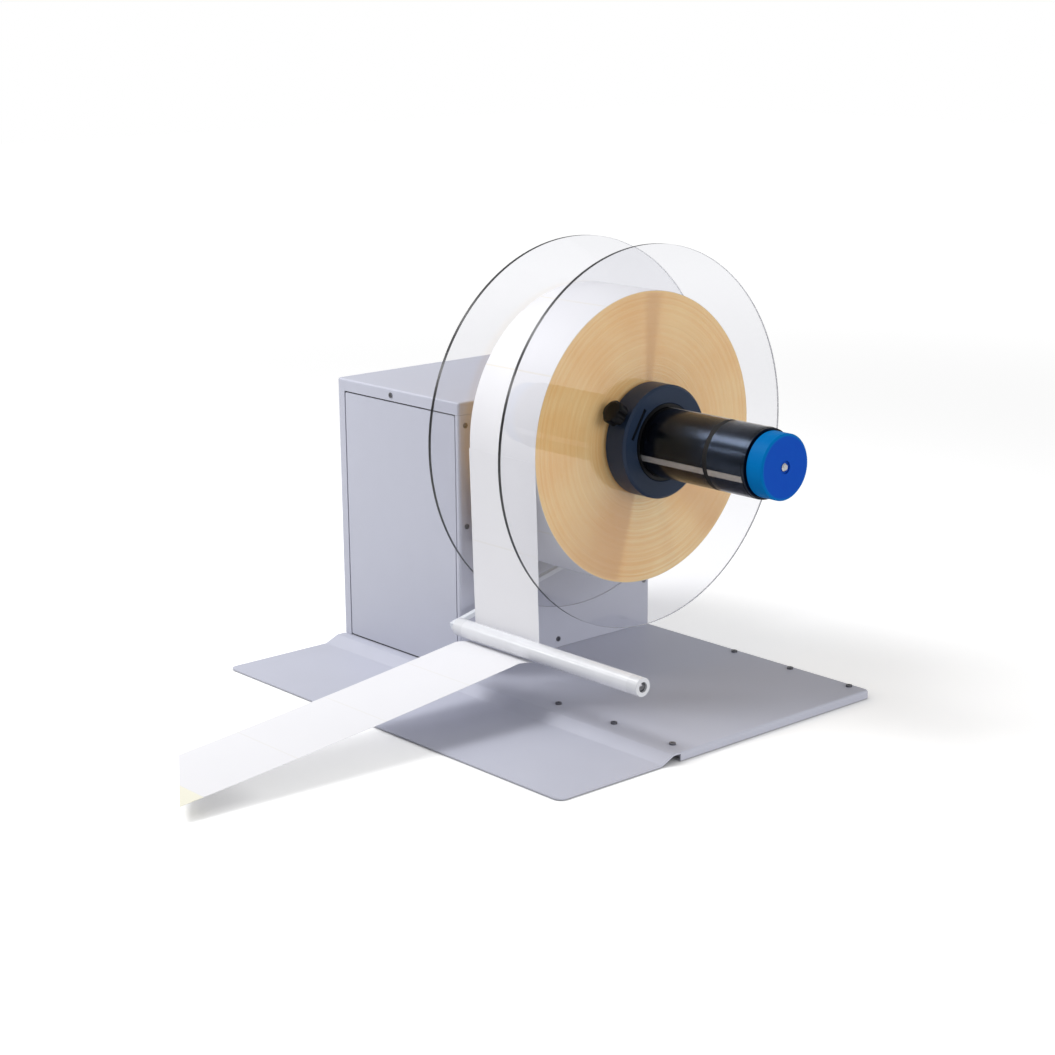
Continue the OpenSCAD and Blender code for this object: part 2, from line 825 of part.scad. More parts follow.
module power_inlet() {
    face = cabinet_d + inlet_flange_t;
    floor_y = face - socket_deep;
    color([0.1, 0.1, 0.11]) difference() {
        union() {
            translate([inlet_left, face, inlet_z - inlet_h / 2]) rotate([90, 0, 0])
                linear_extrude(inlet_flange_t) round_rect(inlet_right - inlet_left, inlet_h, inlet_skin);
            inlet_body(cabinet_d - inlet_deep, cabinet_d, 0);
        }
        translate([inlet_x, face + over, inlet_z]) rotate([90, 0, 0]) linear_extrude(socket_deep + over) polygon([
            [-socket_w / 2, -socket_h / 2], [socket_w / 2, -socket_h / 2],
            [socket_w / 2, socket_h / 2 - socket_cut], [socket_w / 2 - socket_cut, socket_h / 2],
            [-socket_w / 2 + socket_cut, socket_h / 2], [-socket_w / 2, socket_h / 2 - socket_cut]
        ]);
        translate([switch_x - rocker_w / 2 - gap, face - pocket_deep, inlet_z - rocker_h / 2 - set_back])
            cube([rocker_w + 2 * gap, pocket_deep + over, rocker_h + 2 * set_back]);
        translate([switch_x, cabinet_d, inlet_z]) rotate([0, 90, 0])
            cylinder(d = rocker_pin_d + 2 * fit, h = rocker_w + 2 * rocker_pin + 4 * gap, center = true);
    }
    color([0.8, 0.75, 0.5]) for (i = [-1 : 1])
        translate([inlet_x + i * blade_pitch - blade_t / 2, floor_y, inlet_z - blade_w / 2 + blade_rise * (1 - 2 * abs(i))])
            cube([blade_t, blade_len, blade_w]);
}

module rocker_switch() {
    color([0.14, 0.14, 0.15]) translate([switch_x, cabinet_d, inlet_z]) rotate([rocker_tilt, 0, 0]) {
        rotate([90, 0, 90]) linear_extrude(rocker_w, center = true) polygon([
            [-rocker_dip, -rocker_h / 2], [rocker_rise, -rocker_h / 2], [rocker_dip, 0],
            [rocker_rise, rocker_h / 2], [-rocker_dip, rocker_h / 2]
        ]);
        rotate([0, 90, 0]) cylinder(d = rocker_pin_d, h = rocker_w + 2 * rocker_pin, center = true);
    }
}

// Bearing plate and housings

module bearing_plate() {
    color([0.62, 0.63, 0.66]) difference() {
        translate([-plate_x, plate_y, plate_low]) cube([2 * plate_x, plate_t, plate_top - plate_low]);
        on_spindle() rod(housing_d + 2 * fit, -plate_back - over, over);
        on_pivot() rod(dancer_tube_d + 2 * fit, -plate_back - over, over);
        front_screw_places() screw_hole(plate_back + over);
        housing_bolt_places() rod(bolt_d + 2 * play, -over, plate_t + housing_flange_t);
        dancer_bolt_places() rod(bolt_d + 2 * play, -over, plate_t + dancer_flange_t);
    }
}

// Local z points forwards, from the bolt head's seat into the plate
module housing_bolt_places() {
    on_spindle() translate([0, 0, -plate_back - housing_flange_t]) copies_round(4, housing_bolt_r, 45) children();
}

module dancer_bolt_places() {
    on_pivot() translate([0, 0, -plate_back - dancer_flange_t]) copies_round(2, stop_r) children();
}

module spindle_housing() {
    r = housing_d / 2;
    seat_r = bearing_d / 2 + fit;
    bore_r = outer_race_id / 2 + set_back;
    color([0.66, 0.67, 0.7]) difference() {
        on_spindle() turned([
            [seat_r, -plate_y], [r, -plate_y], [r, -plate_back], [housing_flange_d / 2, -plate_back],
            [housing_flange_d / 2, -plate_back - housing_flange_t], [r, -plate_back - housing_flange_t],
            [r, -housing_end], [seat_r, -housing_end], [seat_r, -bearing_rear], [bore_r, -bearing_rear],
            [bore_r, -bearing_front - bearing_w], [seat_r, -bearing_front - bearing_w]
        ]);
        housing_bolt_places() rod(bolt_d + 2 * play, -over, plate_t + housing_flange_t);
    }
}

module housing_bolts() {
    color([0.3, 0.3, 0.32]) {
        housing_bolt_places() rotate([180, 0, 0]) pan_screw(bolt_d, housing_flange_t + plate_t - set_back);
        dancer_bolt_places() rotate([180, 0, 0]) pan_screw(bolt_d, dancer_flange_t + plate_t - set_back);
        out_from(motor_x, motor_h) translate([0, 0, -bracket_at]) copies_round(4, motor_bolt_r, 45)
            pan_screw(bolt_d, bracket_t + bolt_d);
        bracket_bolt_places() pan_screw(bolt_d, bracket_t + chassis_t - gap);
    }
}

module bearing_places() {
    for (y = [bearing_front, bearing_rear]) on_spindle() translate([0, 0, -y - bearing_w]) children();
}

module race(inner_r, outer_r) {
    rotate_extrude() difference() {
        translate([inner_r, 0]) square([outer_r - inner_r, bearing_w]);
        translate([ball_pitch_r, bearing_w / 2]) circle(r = groove_r);
    }
}

module bearing_outer_rings() {
    color([0.7, 0.71, 0.73]) bearing_places() {
        race(outer_race_id / 2, bearing_d / 2);
        translate([0, 0, bearing_w / 2]) copies_round(ball_count, ball_pitch_r) sphere(r = groove_r - play);
    }
}

module bearing_inner_rings() {
    color([0.75, 0.76, 0.78]) bearing_places() race(shaft_d / 2 + fit, inner_race_d / 2);
}

// Spindle and drive

module spindle_shaft() {
    hub_at = inner_disc_end + end_flange_t;
    color([0.7, 0.7, 0.73]) on_spindle() difference() {
        turned([
            [0, -shaft_back], [shaft_d / 2 - set_back, -shaft_back], [shaft_d / 2, -shaft_back + set_back],
            [shaft_d / 2, -bearing_front], [shoulder_d / 2, -bearing_front], [shoulder_d / 2, inner_disc_at],
            [register_d / 2, inner_disc_at], [register_d / 2, inner_disc_end],
            [mandrel_id / 2 - fit, inner_disc_end], [mandrel_id / 2 - fit, hub_at], [0, hub_at]
        ]);
        rod(rod_d + 2 * fit, rod_start - gap, hub_at + over);
        translate([0, 0, inner_disc_end]) copies_round(hub_screw_count, hub_screw_r)
            rod(bolt_d + 2 * play, -over, end_flange_t - hub_screw_floor + set_back);
    }
}

// Grooves for the belt's ribs, as points along the pulley's width
function rib_points(r) = [for (i = [0 : 2 * belt_ribs]) [r - (i % 2) * rib_h, i * rib_pitch / 2]];

module pulley(r, bore) {
    first = pulley_flange_t + gap;
    translate([0, 0, -pulley_at - pulley_len]) turned(concat(
        [[bore / 2, 0], [r + pulley_rim, 0], [r + pulley_rim, pulley_flange_t], [r, pulley_flange_t]],
        [for (p = rib_points(r)) p + [0, first]],
        [[r, pulley_len - pulley_flange_t], [r + pulley_rim, pulley_len - pulley_flange_t]],
        [[r + pulley_rim, pulley_len], [bore / 2, pulley_len]]
    ));
}

module driven_pulley() {
    color([0.5, 0.51, 0.55]) on_spindle() difference() {
        pulley(driven_r, shaft_d + 2 * fit);
        copies_round(6, (driven_r + shaft_d / 2) / 2, 30)
            rod(driven_r / 4, -pulley_at - pulley_len - over, -pulley_at + over);
    }
}

belt_run = [motor_x, motor_h - spindle_h];
belt_dir = atan2(belt_run[1], belt_run[0]);
belt_turn = acos((driven_r - motor_r) / norm(belt_run));
belt_len = sqrt(pow(norm(belt_run), 2) - pow(driven_r - motor_r, 2));

module belt_section(r) {
    back = r + belt_lift + belt_back_t;
    polygon(concat(
        [[back, 0]],
        [for (p = rib_points(r)) p + [belt_lift, 0]],
        [[back, belt_w]]
    ));
}

module drive_belt() {
    z = -pulley_at - pulley_len + pulley_flange_t + gap;
    color([0.12, 0.12, 0.13]) {
        on_spindle() translate([0, 0, z]) {
            rotate([0, 0, belt_dir + belt_turn]) rotate_extrude(angle = 360 - 2 * belt_turn) belt_section(driven_r);
            rotate([0, 0, belt_dir + belt_turn]) rotate([90, 0, 0]) linear_extrude(belt_len)
                belt_section(driven_r);
            rotate([0, 0, belt_dir - belt_turn]) translate([0, belt_len, 0]) rotate([90, 0, 0])
                linear_extrude(belt_len) belt_section(driven_r);
        }
        out_from(motor_x, motor_h) translate([0, 0, z]) rotate([0, 0, belt_dir - belt_turn])
            rotate_extrude(angle = 2 * belt_turn) belt_section(motor_r);
    }
}

module motor_pulley() {
    color([0.6, 0.61, 0.64]) out_from(motor_x, motor_h) {
        pulley(motor_r, motor_shaft_d - 2 * play);
        rod(motor_shaft_d, -bracket_at - bracket_t - motor_shaft_in, -pulley_at);
    }
}

module gear_motor() {
    a = -bracket_at - bracket_t;
    b = a - gearbox_len;
    c = b - motor_len;
    bore = motor_shaft_d / 2 + fit;
    deep = a - motor_shaft_in - set_back;
    color([0.3, 0.31, 0.34]) out_from(motor_x, motor_h) difference() {
        turned([
            [bore, a], [gearbox_d / 2 - motor_edge, a], [gearbox_d / 2, a - motor_edge],
            [gearbox_d / 2, b], [motor_d / 2, b], [motor_d / 2, c + motor_edge],
            [motor_d / 2 - motor_edge, c], [0, c], [0, deep], [bore, deep]
        ]);
        translate([0, 0, a]) copies_round(4, motor_bolt_r, 45) rod(bolt_d + 2 * play, -bolt_d - set_back, over);
    }
}

module bracket_bolt_places() {
    for (side = [-1, 1], y = [bracket_t + bracket_foot / 4, bracket_t + 3 * bracket_foot / 4])
        translate([motor_x + side * bracket_w / 3, bracket_at + y, floor_z + bracket_t]) children();
}

module motor_bracket() {
    color([0.55, 0.56, 0.6]) difference() {
        union() {
            translate([motor_x - bracket_w / 2, bracket_at, floor_z])
                cube([bracket_w, bracket_t, motor_h + bracket_rise - floor_z]);
            translate([motor_x - bracket_w / 2, bracket_at, floor_z]) cube([bracket_w, bracket_foot, bracket_t]);
            for (side = [-1, 1]) translate([motor_x + side * (bracket_w - bracket_t) / 2, bracket_at, floor_z])
                rotate([90, 0, 90]) linear_extrude(bracket_t, center = true)
                    polygon([[0, 0], [bracket_foot, 0], [bracket_t, bracket_foot], [0, bracket_foot]]);
        }
        out_from(motor_x, motor_h) {
            rod(motor_shaft_d + 2 * set_back, -bracket_at - bracket_t - over, -bracket_at + over);
            copies_round(4, motor_bolt_r, 45) rod(bolt_d + 2 * play, -bracket_at - bracket_t - over, -bracket_at + over);
        }
        bracket_bolt_places() rod(bolt_d + 2 * play, -bracket_t - over, over);
    }
}

// Inner disc and mandrel

module inner_hub() {
    back = inner_disc_at - hub_flange_t;
    bore = shoulder_d / 2 + fit;
    color([0.3, 0.33, 0.38]) on_spindle() difference() {
        turned([
            [bore, back - hub_boss_len], [hub_boss_d / 2, back - hub_boss_len], [hub_boss_d / 2, back],
            [hub_flange_d / 2 - set_back, back], [hub_flange_d / 2, back + set_back],
            [hub_flange_d / 2, inner_disc_at], [bore, inner_disc_at]
        ]);
        copies_round(hub_screw_count, hub_screw_r) rod(bolt_d + 2 * play, back - over, inner_disc_at + over);
    }
}

module inner_disc() {
    color([0.8, 0.85, 0.9, 0.5]) on_spindle() difference() {
        ring(disc_d, register_d + 2 * fit, inner_disc_at, inner_disc_end);
        copies_round(hub_screw_count, hub_screw_r) rod(bolt_d + 2 * play, inner_disc_at - over, inner_disc_end + over);
    }
}

module core_stop_ring() {
    color([0.15, 0.15, 0.17]) on_spindle() ring(stop_ring_d, mandrel_d + 2 * fit, inner_disc_end, roll_start);
}

module hub_screws() {
    color([0.3, 0.3, 0.32]) on_spindle() translate([0, 0, inner_disc_at - hub_flange_t])
        copies_round(hub_screw_count, hub_screw_r) rotate([180, 0, 0]) pan_screw(bolt_d, hub_screw_len);
}

module mandrel_tube() {
    slot_w = bar_w + 2 * slack;
    color([0.08, 0.08, 0.09]) on_spindle() difference() {
        ring(mandrel_d, mandrel_id, inner_disc_end, mandrel_end);
        for (i = [0 : 2]) rotate([0, 0, bar_angle + 120 * i])
            translate([mandrel_id / 2 - over, -slot_w / 2, slot_start])
                cube([mandrel_wall + 2 * over, slot_w, mandrel_end - slot_start + over]);
        for (u = [band_far, band_near])
            ring(mandrel_d + 2 * over, 2 * band_bed_r, u - band_w / 2 - slack, u + band_w / 2 + slack);
    }
}

module mandrel_end_ring() {
    spigot_r = mandrel_id / 2 - fit;
    bore = rod_d / 2 + fit;
    end = mandrel_end + end_ring_t;
    color([0.05, 0.05, 0.06]) on_spindle() turned([
        [bore, mandrel_end - end_ring_spigot], [spigot_r, mandrel_end - end_ring_spigot],
        [spigot_r, mandrel_end], [end_ring_d / 2, mandrel_end], [end_ring_d / 2, end - set_back / 2],
        [end_ring_d / 2 - set_back / 2, end], [bore, end]
    ]);
}

// The knob turns the rod, whose two threads draw the cones together or apart
module draw_rod() {
    color([0.6, 0.61, 0.64]) on_spindle() difference() {
        rod(rod_d, rod_start, knob_seat - play);
        rod(knob_screw_d + 2 * play, knob_seat - knob_screw_len, knob_seat + over);
    }
}

module cone(big_at, small_at) {
    bore = rod_d / 2 + fit;
    on_spindle() turned([[bore, big_at], [cone_r, big_at], [cone_small_r, small_at], [bore, small_at]]);
}

module rear_cone() {
    color([0.7, 0.6, 0.3]) cone(rear_cone_at, rear_cone_at + cone_len);
}

module front_cone() {
    color([0.7, 0.6, 0.3]) cone(front_cone_end, front_cone_end - cone_len);
}

// Side view of a bar: radius against distance from the cabinet's front
function wedge_r(along) = cone_r - cone_share * along + gap;
module bar_section() {
    notch = band_w / 2 + gap;
    notch_r = sqrt(pow(band_bed_r - play, 2) - pow(bar_w / 2, 2));
    polygon([
        [bar_r + over, bar_start],
        [bar_r + over, band_far - notch], [notch_r, band_far - notch],
        [notch_r, band_far + notch], [bar_r + over, band_far + notch],
        [bar_r + over, band_near - notch], [notch_r, band_near - notch],
        [notch_r, band_near + notch], [bar_r + over, band_near + notch],
        [bar_r + over, bar_end], [bar_tail_r, bar_end], [bar_tail_r, bar_tail], [bar_root, bar_tail],
        [bar_root, front_cone_end - foot_inset], [wedge_r(foot_inset), front_cone_end - foot_inset],
        [wedge_r(cone_len - foot_inset), front_cone_end - cone_len + foot_inset],
        [bar_root, front_cone_end - cone_len + foot_inset],
        [bar_root, rear_cone_at + cone_len - foot_inset],
        [wedge_r(cone_len - foot_inset), rear_cone_at + cone_len - foot_inset],
        [wedge_r(foot_inset), rear_cone_at + foot_inset],
        [bar_root, rear_cone_at + foot_inset],
        [bar_root, bar_start]
    ]);
}

module expanding_bar(angle) {
    color([0.75, 0.76, 0.78]) on_spindle() rotate([0, 0, angle]) intersection() {
        rotate([90, 0, 0]) linear_extrude(bar_w, center = true) bar_section();
        rod(2 * bar_r, bar_start - over, bar_end + over);
    }
}

module expanding_bar_top() {
    expanding_bar(bar_angle);
}

module expanding_bar_left() {
    expanding_bar(bar_angle + 120);
}

module expanding_bar_right() {
    expanding_bar(bar_angle + 240);
}

module retaining_bands() {
    color([0.06, 0.06, 0.07]) on_spindle() for (u = [band_far, band_near])
        ring(2 * (band_bed_r + band_t), 2 * (band_bed_r + fit), u - band_w / 2, u + band_w / 2);
}

module core_tube() {
    color([0.72, 0.6, 0.45]) on_spindle() ring(core_od, core_bore, roll_start, roll_end);
}

module label_roll() {
    color([0.87, 0.72, 0.5]) on_spindle() ring(roll_d, core_od + 2 * fit, roll_start, roll_end);
}

// Outer disc with its sliding hub

module outer_disc() {
    color([0.8, 0.85, 0.9, 0.5]) on_spindle() difference() {
        ring(disc_d, sleeve_d + 2 * fit, flange_start, outer_disc_end);
        disc_screw_places() flush_screw(disc_screw_d, disc_screw_len, play);
    }
}

module disc_screw_places() {
    translate([0, 0, flange_start]) copies_round(disc_screw_count, disc_screw_r, star_angle + 45) children();
}

module outer_hub() {
    r = outer_hub_d / 2;
    bore = sleeve_d / 2 + fit;
    color([0.2, 0.23, 0.3]) difference() {
        on_spindle() difference() {
            turned([
                [bore, outer_disc_end], [r, outer_disc_end], [r, outer_hub_end - hub_bevel],
                [r - hub_bevel, outer_hub_end], [bore + set_back, outer_hub_end], [bore, outer_hub_end - set_back]
            ]);
            rotate([0, 0, star_angle]) translate([slot_r - slot_t / 2, -slot_len / 2, outer_hub_end - nut_deep])
                cube([slot_t, slot_len, nut_deep + over]);
            disc_screw_places() rod(disc_screw_d + 2 * play, 0, disc_screw_len + set_back);
        }
        on_star() rod(star_screw_d + 2 * gap, slot_r, r + over);
        on_star() rod(shoe_d + 2 * play, sleeve_d / 2 - over, slot_r);
    }
}

module hub_sleeve() {
    color([0.06, 0.06, 0.07]) difference() {
        on_spindle() ring(sleeve_d, sleeve_id, flange_start, outer_hub_end);
        on_star() rod(shoe_d + 2 * play, bar_r - over, sleeve_d / 2 + over);
    }
}

module nut_plate() {
    inner = slot_r - slot_t / 2 + play;
    color([0.72, 0.73, 0.75]) difference() {
        on_spindle() rotate([0, 0, star_angle])
            translate([inner, -slot_len / 2 + play, outer_hub_end - nut_deep])
                cube([slot_t - 2 * play, slot_len - 2 * play, nut_deep - nut_sink]);
        on_star() rod(star_screw_d + 2 * fit, inner - over, inner + slot_t + over);
    }
}

module star_knob() {
    top = star_start + star_h;
    color([0.07, 0.07, 0.08]) on_star() {
        rod(star_screw_d, shoe_top + gap, star_start + set_back);
        rod(star_neck_d, star_start - star_neck, star_start + set_back);
        intersection() {
            translate([0, 0, star_start]) linear_extrude(star_h) difference() {
                circle(d = star_d);
                for (i = [0 : star_lobes - 1]) rotate(360 * (i + 0.5) / star_lobes)
                    translate([star_d / 2 + star_scallop_r / 2, 0]) circle(r = star_scallop_r);
            }
            turned([
                [0, star_start - over], [star_d / 2 - star_dome / 2, star_start - over],
                [star_d / 2 - star_dome / 2, star_start], [star_d / 2 + over, star_start + star_dome],
                [star_d / 2 + over, top - 2 * star_dome], [star_d / 2 - star_dome, top - star_dome / 2],
                [star_d / 4, top], [0, top]
            ]);
        }
    }
}

module clamp_shoe() {
    color([0.7, 0.6, 0.35]) difference() {
        on_star() rod(shoe_d, mandrel_d / 2 - over, shoe_top);
        on_spindle() rod(mandrel_d + 2 * fit, star_at - shoe_d, star_at + shoe_d);
    }
}

module disc_screws() {
    color([0.35, 0.35, 0.38]) on_spindle() disc_screw_places() flush_screw(disc_screw_d, disc_screw_len - play);
}

// Knob at the mandrel's end

module mandrel_knob() {
    r = knob_d / 2;
    bore = rod_d / 2 + fit;
    screw_r = knob_screw_d / 2 + play;
    dimple_r = knob_dimple_d / 2;
    color([0.02, 0.45, 0.78]) on_spindle() turned([
        [bore, knob_start], [r - knob_bevel, knob_start], [r, knob_start + knob_bevel],
        [r, knob_end - knob_bevel], [r - knob_bevel, knob_end], [dimple_r, knob_end],
        [dimple_r, knob_end - knob_dimple], [screw_r, knob_end - knob_dimple], [screw_r, knob_seat],
        [bore, knob_seat]
    ]);
}

module knob_screw() {
    color([0.85, 0.86, 0.88]) on_spindle() translate([0, 0, knob_end - knob_dimple])
        pan_screw(knob_screw_d, knob_screw_len);
}

// Free web

module label_web_drop() {
    path = concat(
        [[0, spindle_h] + web_a * [cos(leave_angle), sin(leave_angle)]],
        arc_points([roller_x, roller_z], web_b, meet_angle, run_slope - 90, wrap_steps)
    );
    color([0.93, 0.93, 0.95]) out_from(0, 0) translate([0, 0, roll_start]) linear_extrude(roll_w) strip(path, web_t);
}

module label_web_run() {
    steps = [for (i = [0 : run_steps]) run_near * i / run_steps];
    path = [for (s = steps) run_from + [-s, -tan(run_slope) * s + sag_share * s * s / run_near]];
    tip_far = run_from[0] - run_far;
    tip_near = run_from[0] - run_near + set_back;
    color([0.93, 0.93, 0.95]) intersection() {
        out_from(0, 0) translate([0, 0, roll_start - over]) linear_extrude(roll_w + 2 * over) strip(path, web_t);
        linear_extrude(spindle_h) polygon([
            [run_from[0] + over, -roll_start], [tip_far, -roll_start],
            [tip_near, -roll_end], [run_from[0] + over, -roll_end]
        ]);
    }
}

// Roller arm

module arm_frame() {
    on_pivot() rotate([0, 0, 180 + arm_slope]) children();
}

module dancer_arm() {
    color([0.72, 0.73, 0.76]) difference() {
        union() {
            arm_frame() translate([0, 0, arm_start]) linear_extrude(arm_bar_t) {
                translate([0, -arm_bar_h / 2]) square([arm_len + arm_tip, arm_bar_h]);
                translate([arm_len, roller_drop]) circle(d = arm_eye_d);
            }
            on_pivot() rod(arm_boss_d, set_back, arm_end);
        }
        on_pivot() rod(pivot_d + 2 * fit, -over, arm_end + over);
        on_roller() rod(axle_d + 2 * fit, arm_start - over, arm_end + over);
    }
}

module roller_axle() {
    color([0.8, 0.81, 0.83]) on_roller() difference() {
        rod(axle_d, arm_start, axle_end);
        rod(axle_screw_d + 2 * play, axle_end - axle_screw_len - set_back, axle_end + over);
    }
}

module roller_tube() {
    color([0.92, 0.92, 0.93]) on_roller()
        ring(roller_d, roller_d - 2 * roller_wall, roller_start + roller_cap_len, roller_end - roller_cap_len);
}

module roller_ends() {
    r = roller_d / 2;
    bore = axle_d / 2 + fit;
    spigot_r = r - roller_wall - fit;
    near = roller_end - roller_cap_len;
    far = roller_start + roller_cap_len;
    color([0.95, 0.95, 0.95]) on_roller() {
        turned([
            [bore, roller_start], [r - set_back / 2, roller_start], [r, roller_start + set_back / 2],
            [r, far], [spigot_r, far], [spigot_r, far + roller_spigot], [bore, far + roller_spigot]
        ]);
        turned([
            [bore, near - roller_spigot], [spigot_r, near - roller_spigot], [spigot_r, near], [r, near],
            [r, roller_end - set_back / 2], [r - set_back / 2, roller_end],
            [roller_recess_d / 2, roller_end], [roller_recess_d / 2, roller_end - roller_recess],
            [bore, roller_end - roller_recess]
        ]);
    }
}

module axle_screw() {
    color([0.85, 0.86, 0.88]) on_roller() translate([0, 0, axle_end]) {
        rod(axle_screw_d, -axle_screw_len, axle_head_h / 2);
        turned([
            [0, 0], [axle_head_d / 2, 0], [axle_head_d / 2, axle_head_h / 2],
            [axle_head_d / 4, axle_head_h], [0, axle_head_h]
        ]);
    }
}

module dancer_shaft() {
    color([0.7, 0.71, 0.73]) on_pivot() {
        rod(pivot_d, -lever_at - lever_t, arm_end + set_back);
        rod(sensor_shaft_d, -sensor_plate_at - sensor_len, -lever_at);
        rod(lever_hub_d, -lever_at - lever_t, -lever_at);
        translate([-lever_w / 2, 0, -lever_at - lever_t]) cube([lever_w, lever_len, lever_t]);
    }
}

// Housing of the arm's shaft, with three pillars; the upper two also stop the lever
module dancer_housing() {
    r = dancer_tube_d / 2;
    bore = pivot_d / 2 + fit;
    back = plate_back + dancer_flange_t;
    color([0.66, 0.67, 0.7]) difference() {
        on_pivot() {
            turned([
                [bore, -plate_y], [r, -plate_y], [r, -plate_back], [dancer_flange_d / 2, -plate_back],
                [dancer_flange_d / 2, -back], [r, -back], [r, -dancer_tube_end], [bore, -dancer_tube_end]
            ]);
            for (a = [90 - swing_up - stop_angle, 90 + swing_down + stop_angle, -90])
                rotate([0, 0, a]) translate([stop_r, 0, 0]) rod(stop_d, -sensor_plate_at, -back + set_back);
        }
        dancer_bolt_places() rod(bolt_d + 2 * play, -over, dancer_flange_t + over);
    }
}

// Closely wound torsion spring with one leg that leans on a pillar
module return_spring() {
    r = dancer_tube_d / 2 + gap + spring_wire / 2;
    pitch = 0.95 * spring_wire;
    color([0.5, 0.51, 0.53]) on_pivot() {
        rotate_extrude() for (i = [0 : spring_turns - 1])
            translate([r, -spring_at - spring_wire / 2 - i * pitch]) circle(d = spring_wire);
        translate([-r, 0, -spring_at - spring_wire / 2]) rotate([90, 0, 0])
            cylinder(d = 0.9 * spring_wire, h = lever_len);
    }
}

module position_sensor() {
    color([0.15, 0.2, 0.3]) on_pivot() {
        translate([0, 0, -sensor_plate_at - sensor_plate_t])
            ring(dancer_flange_d, sensor_shaft_d + 2 * set_back, 0, sensor_plate_t);
        ring(sensor_d, sensor_shaft_d + 2 * play, -sensor_plate_at - sensor_plate_t - sensor_len, -sensor_plate_at - sensor_plate_t);
    }
}

// Electric pieces

module power_supply() {
    color([0.6, 0.61, 0.63]) difference() {
        translate(supply_at) cube(supply_size);
        translate(supply_at + [-over, -over, supply_size[2] / 2])
            cube([supply_shelf + over, supply_size[1] + 2 * over, supply_size[2]]);
    }
}

module control_board() {
    color([0.1, 0.35, 0.2]) {
        translate(board_at) cube(board_size);
        for (x = [pillar_inset, board_size[0] - pillar_inset], y = [pillar_inset, board_size[1] - pillar_inset])
            translate([board_at[0] + x, board_at[1] + y, floor_z]) cylinder(d = pillar_d, h = board_at[2] - floor_z);
        for (x = [board_size[0] / 4, board_size[0] / 2])
            translate(board_at + [x, board_size[1] / 3, board_size[2]]) cube(chip_size);
        translate(board_at + [3 * board_size[0] / 4, 2 * board_size[1] / 3, board_size[2]]) cylinder(d = coil_d, h = coil_h);
    }
}

base_plate();
base_rails();
rubber_feet();
base_screws();
chassis();
front_panel();
outer_cover();
left_side_panel();
right_side_panel();
cabinet_screws();
bearing_plate();
spindle_housing();
housing_bolts();
bearing_outer_rings();
bearing_inner_rings();
spindle_shaft();
driven_pulley();
drive_belt();
gear_motor();
motor_bracket();
motor_pulley();
inner_hub();
inner_disc();
core_stop_ring();
hub_screws();
mandrel_tube();
mandrel_end_ring();
draw_rod();
rear_cone();
front_cone();
expanding_bar_top();
expanding_bar_left();
expanding_bar_right();
retaining_bands();
core_tube();
label_roll();
outer_disc();
outer_hub();
hub_sleeve();
nut_plate();
star_knob();
clamp_shoe();
disc_screws();
mandrel_knob();
knob_screw();
label_web_drop();
label_web_run();
dancer_arm();
roller_axle();
roller_tube();
roller_ends();
axle_screw();
dancer_shaft();
dancer_housing();
return_spring();
position_sensor();
power_inlet();
rocker_switch();
power_supply();
control_board();
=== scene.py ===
import math

import bpy
from mathutils import Matrix, Vector


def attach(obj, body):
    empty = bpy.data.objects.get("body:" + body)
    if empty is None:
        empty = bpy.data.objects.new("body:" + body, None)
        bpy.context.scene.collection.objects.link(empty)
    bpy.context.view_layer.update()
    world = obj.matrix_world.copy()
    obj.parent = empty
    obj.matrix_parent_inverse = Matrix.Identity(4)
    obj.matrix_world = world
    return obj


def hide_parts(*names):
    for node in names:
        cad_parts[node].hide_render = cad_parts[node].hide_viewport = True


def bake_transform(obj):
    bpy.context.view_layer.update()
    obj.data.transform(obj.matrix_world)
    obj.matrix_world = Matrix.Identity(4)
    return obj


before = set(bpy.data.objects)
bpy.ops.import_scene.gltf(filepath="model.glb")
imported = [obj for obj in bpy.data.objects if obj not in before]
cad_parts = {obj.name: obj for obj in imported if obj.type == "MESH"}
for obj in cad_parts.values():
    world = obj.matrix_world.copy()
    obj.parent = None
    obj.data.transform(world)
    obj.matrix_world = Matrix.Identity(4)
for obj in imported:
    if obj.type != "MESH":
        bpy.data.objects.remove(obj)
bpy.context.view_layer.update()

# The view: a long lens a little above the mandrel, looking along the roll's
# edge from the left front, so that the side wall, the roll and the blue knob
# all show.
yaw, pitch, lean = math.radians(-41.209), math.radians(-14.185), math.radians(-0.523)
ahead = Vector((-math.sin(yaw) * math.cos(pitch), math.cos(yaw) * math.cos(pitch), math.sin(pitch)))
level = Vector((math.cos(yaw), math.sin(yaw), 0))
upright = level.cross(ahead)
to_right = math.cos(lean) * level + math.sin(lean) * upright
to_top = math.cos(lean) * upright - math.sin(lean) * level
lens = bpy.data.cameras.new("product_view")
lens.lens = 74.05
lens.sensor_width = 36
camera = bpy.data.objects.new("product_view", lens)
bpy.context.scene.collection.objects.link(camera)
camera_place = (-1.61584, -1.79284, 0.76404)
camera_turn = Matrix((to_right, to_top, -ahead)).transposed().to_4x4()
camera.matrix_world = Matrix.Translation(camera_place) @ camera_turn
bpy.context.scene.camera = camera
bpy.context.scene.view_settings.view_transform = "Standard"


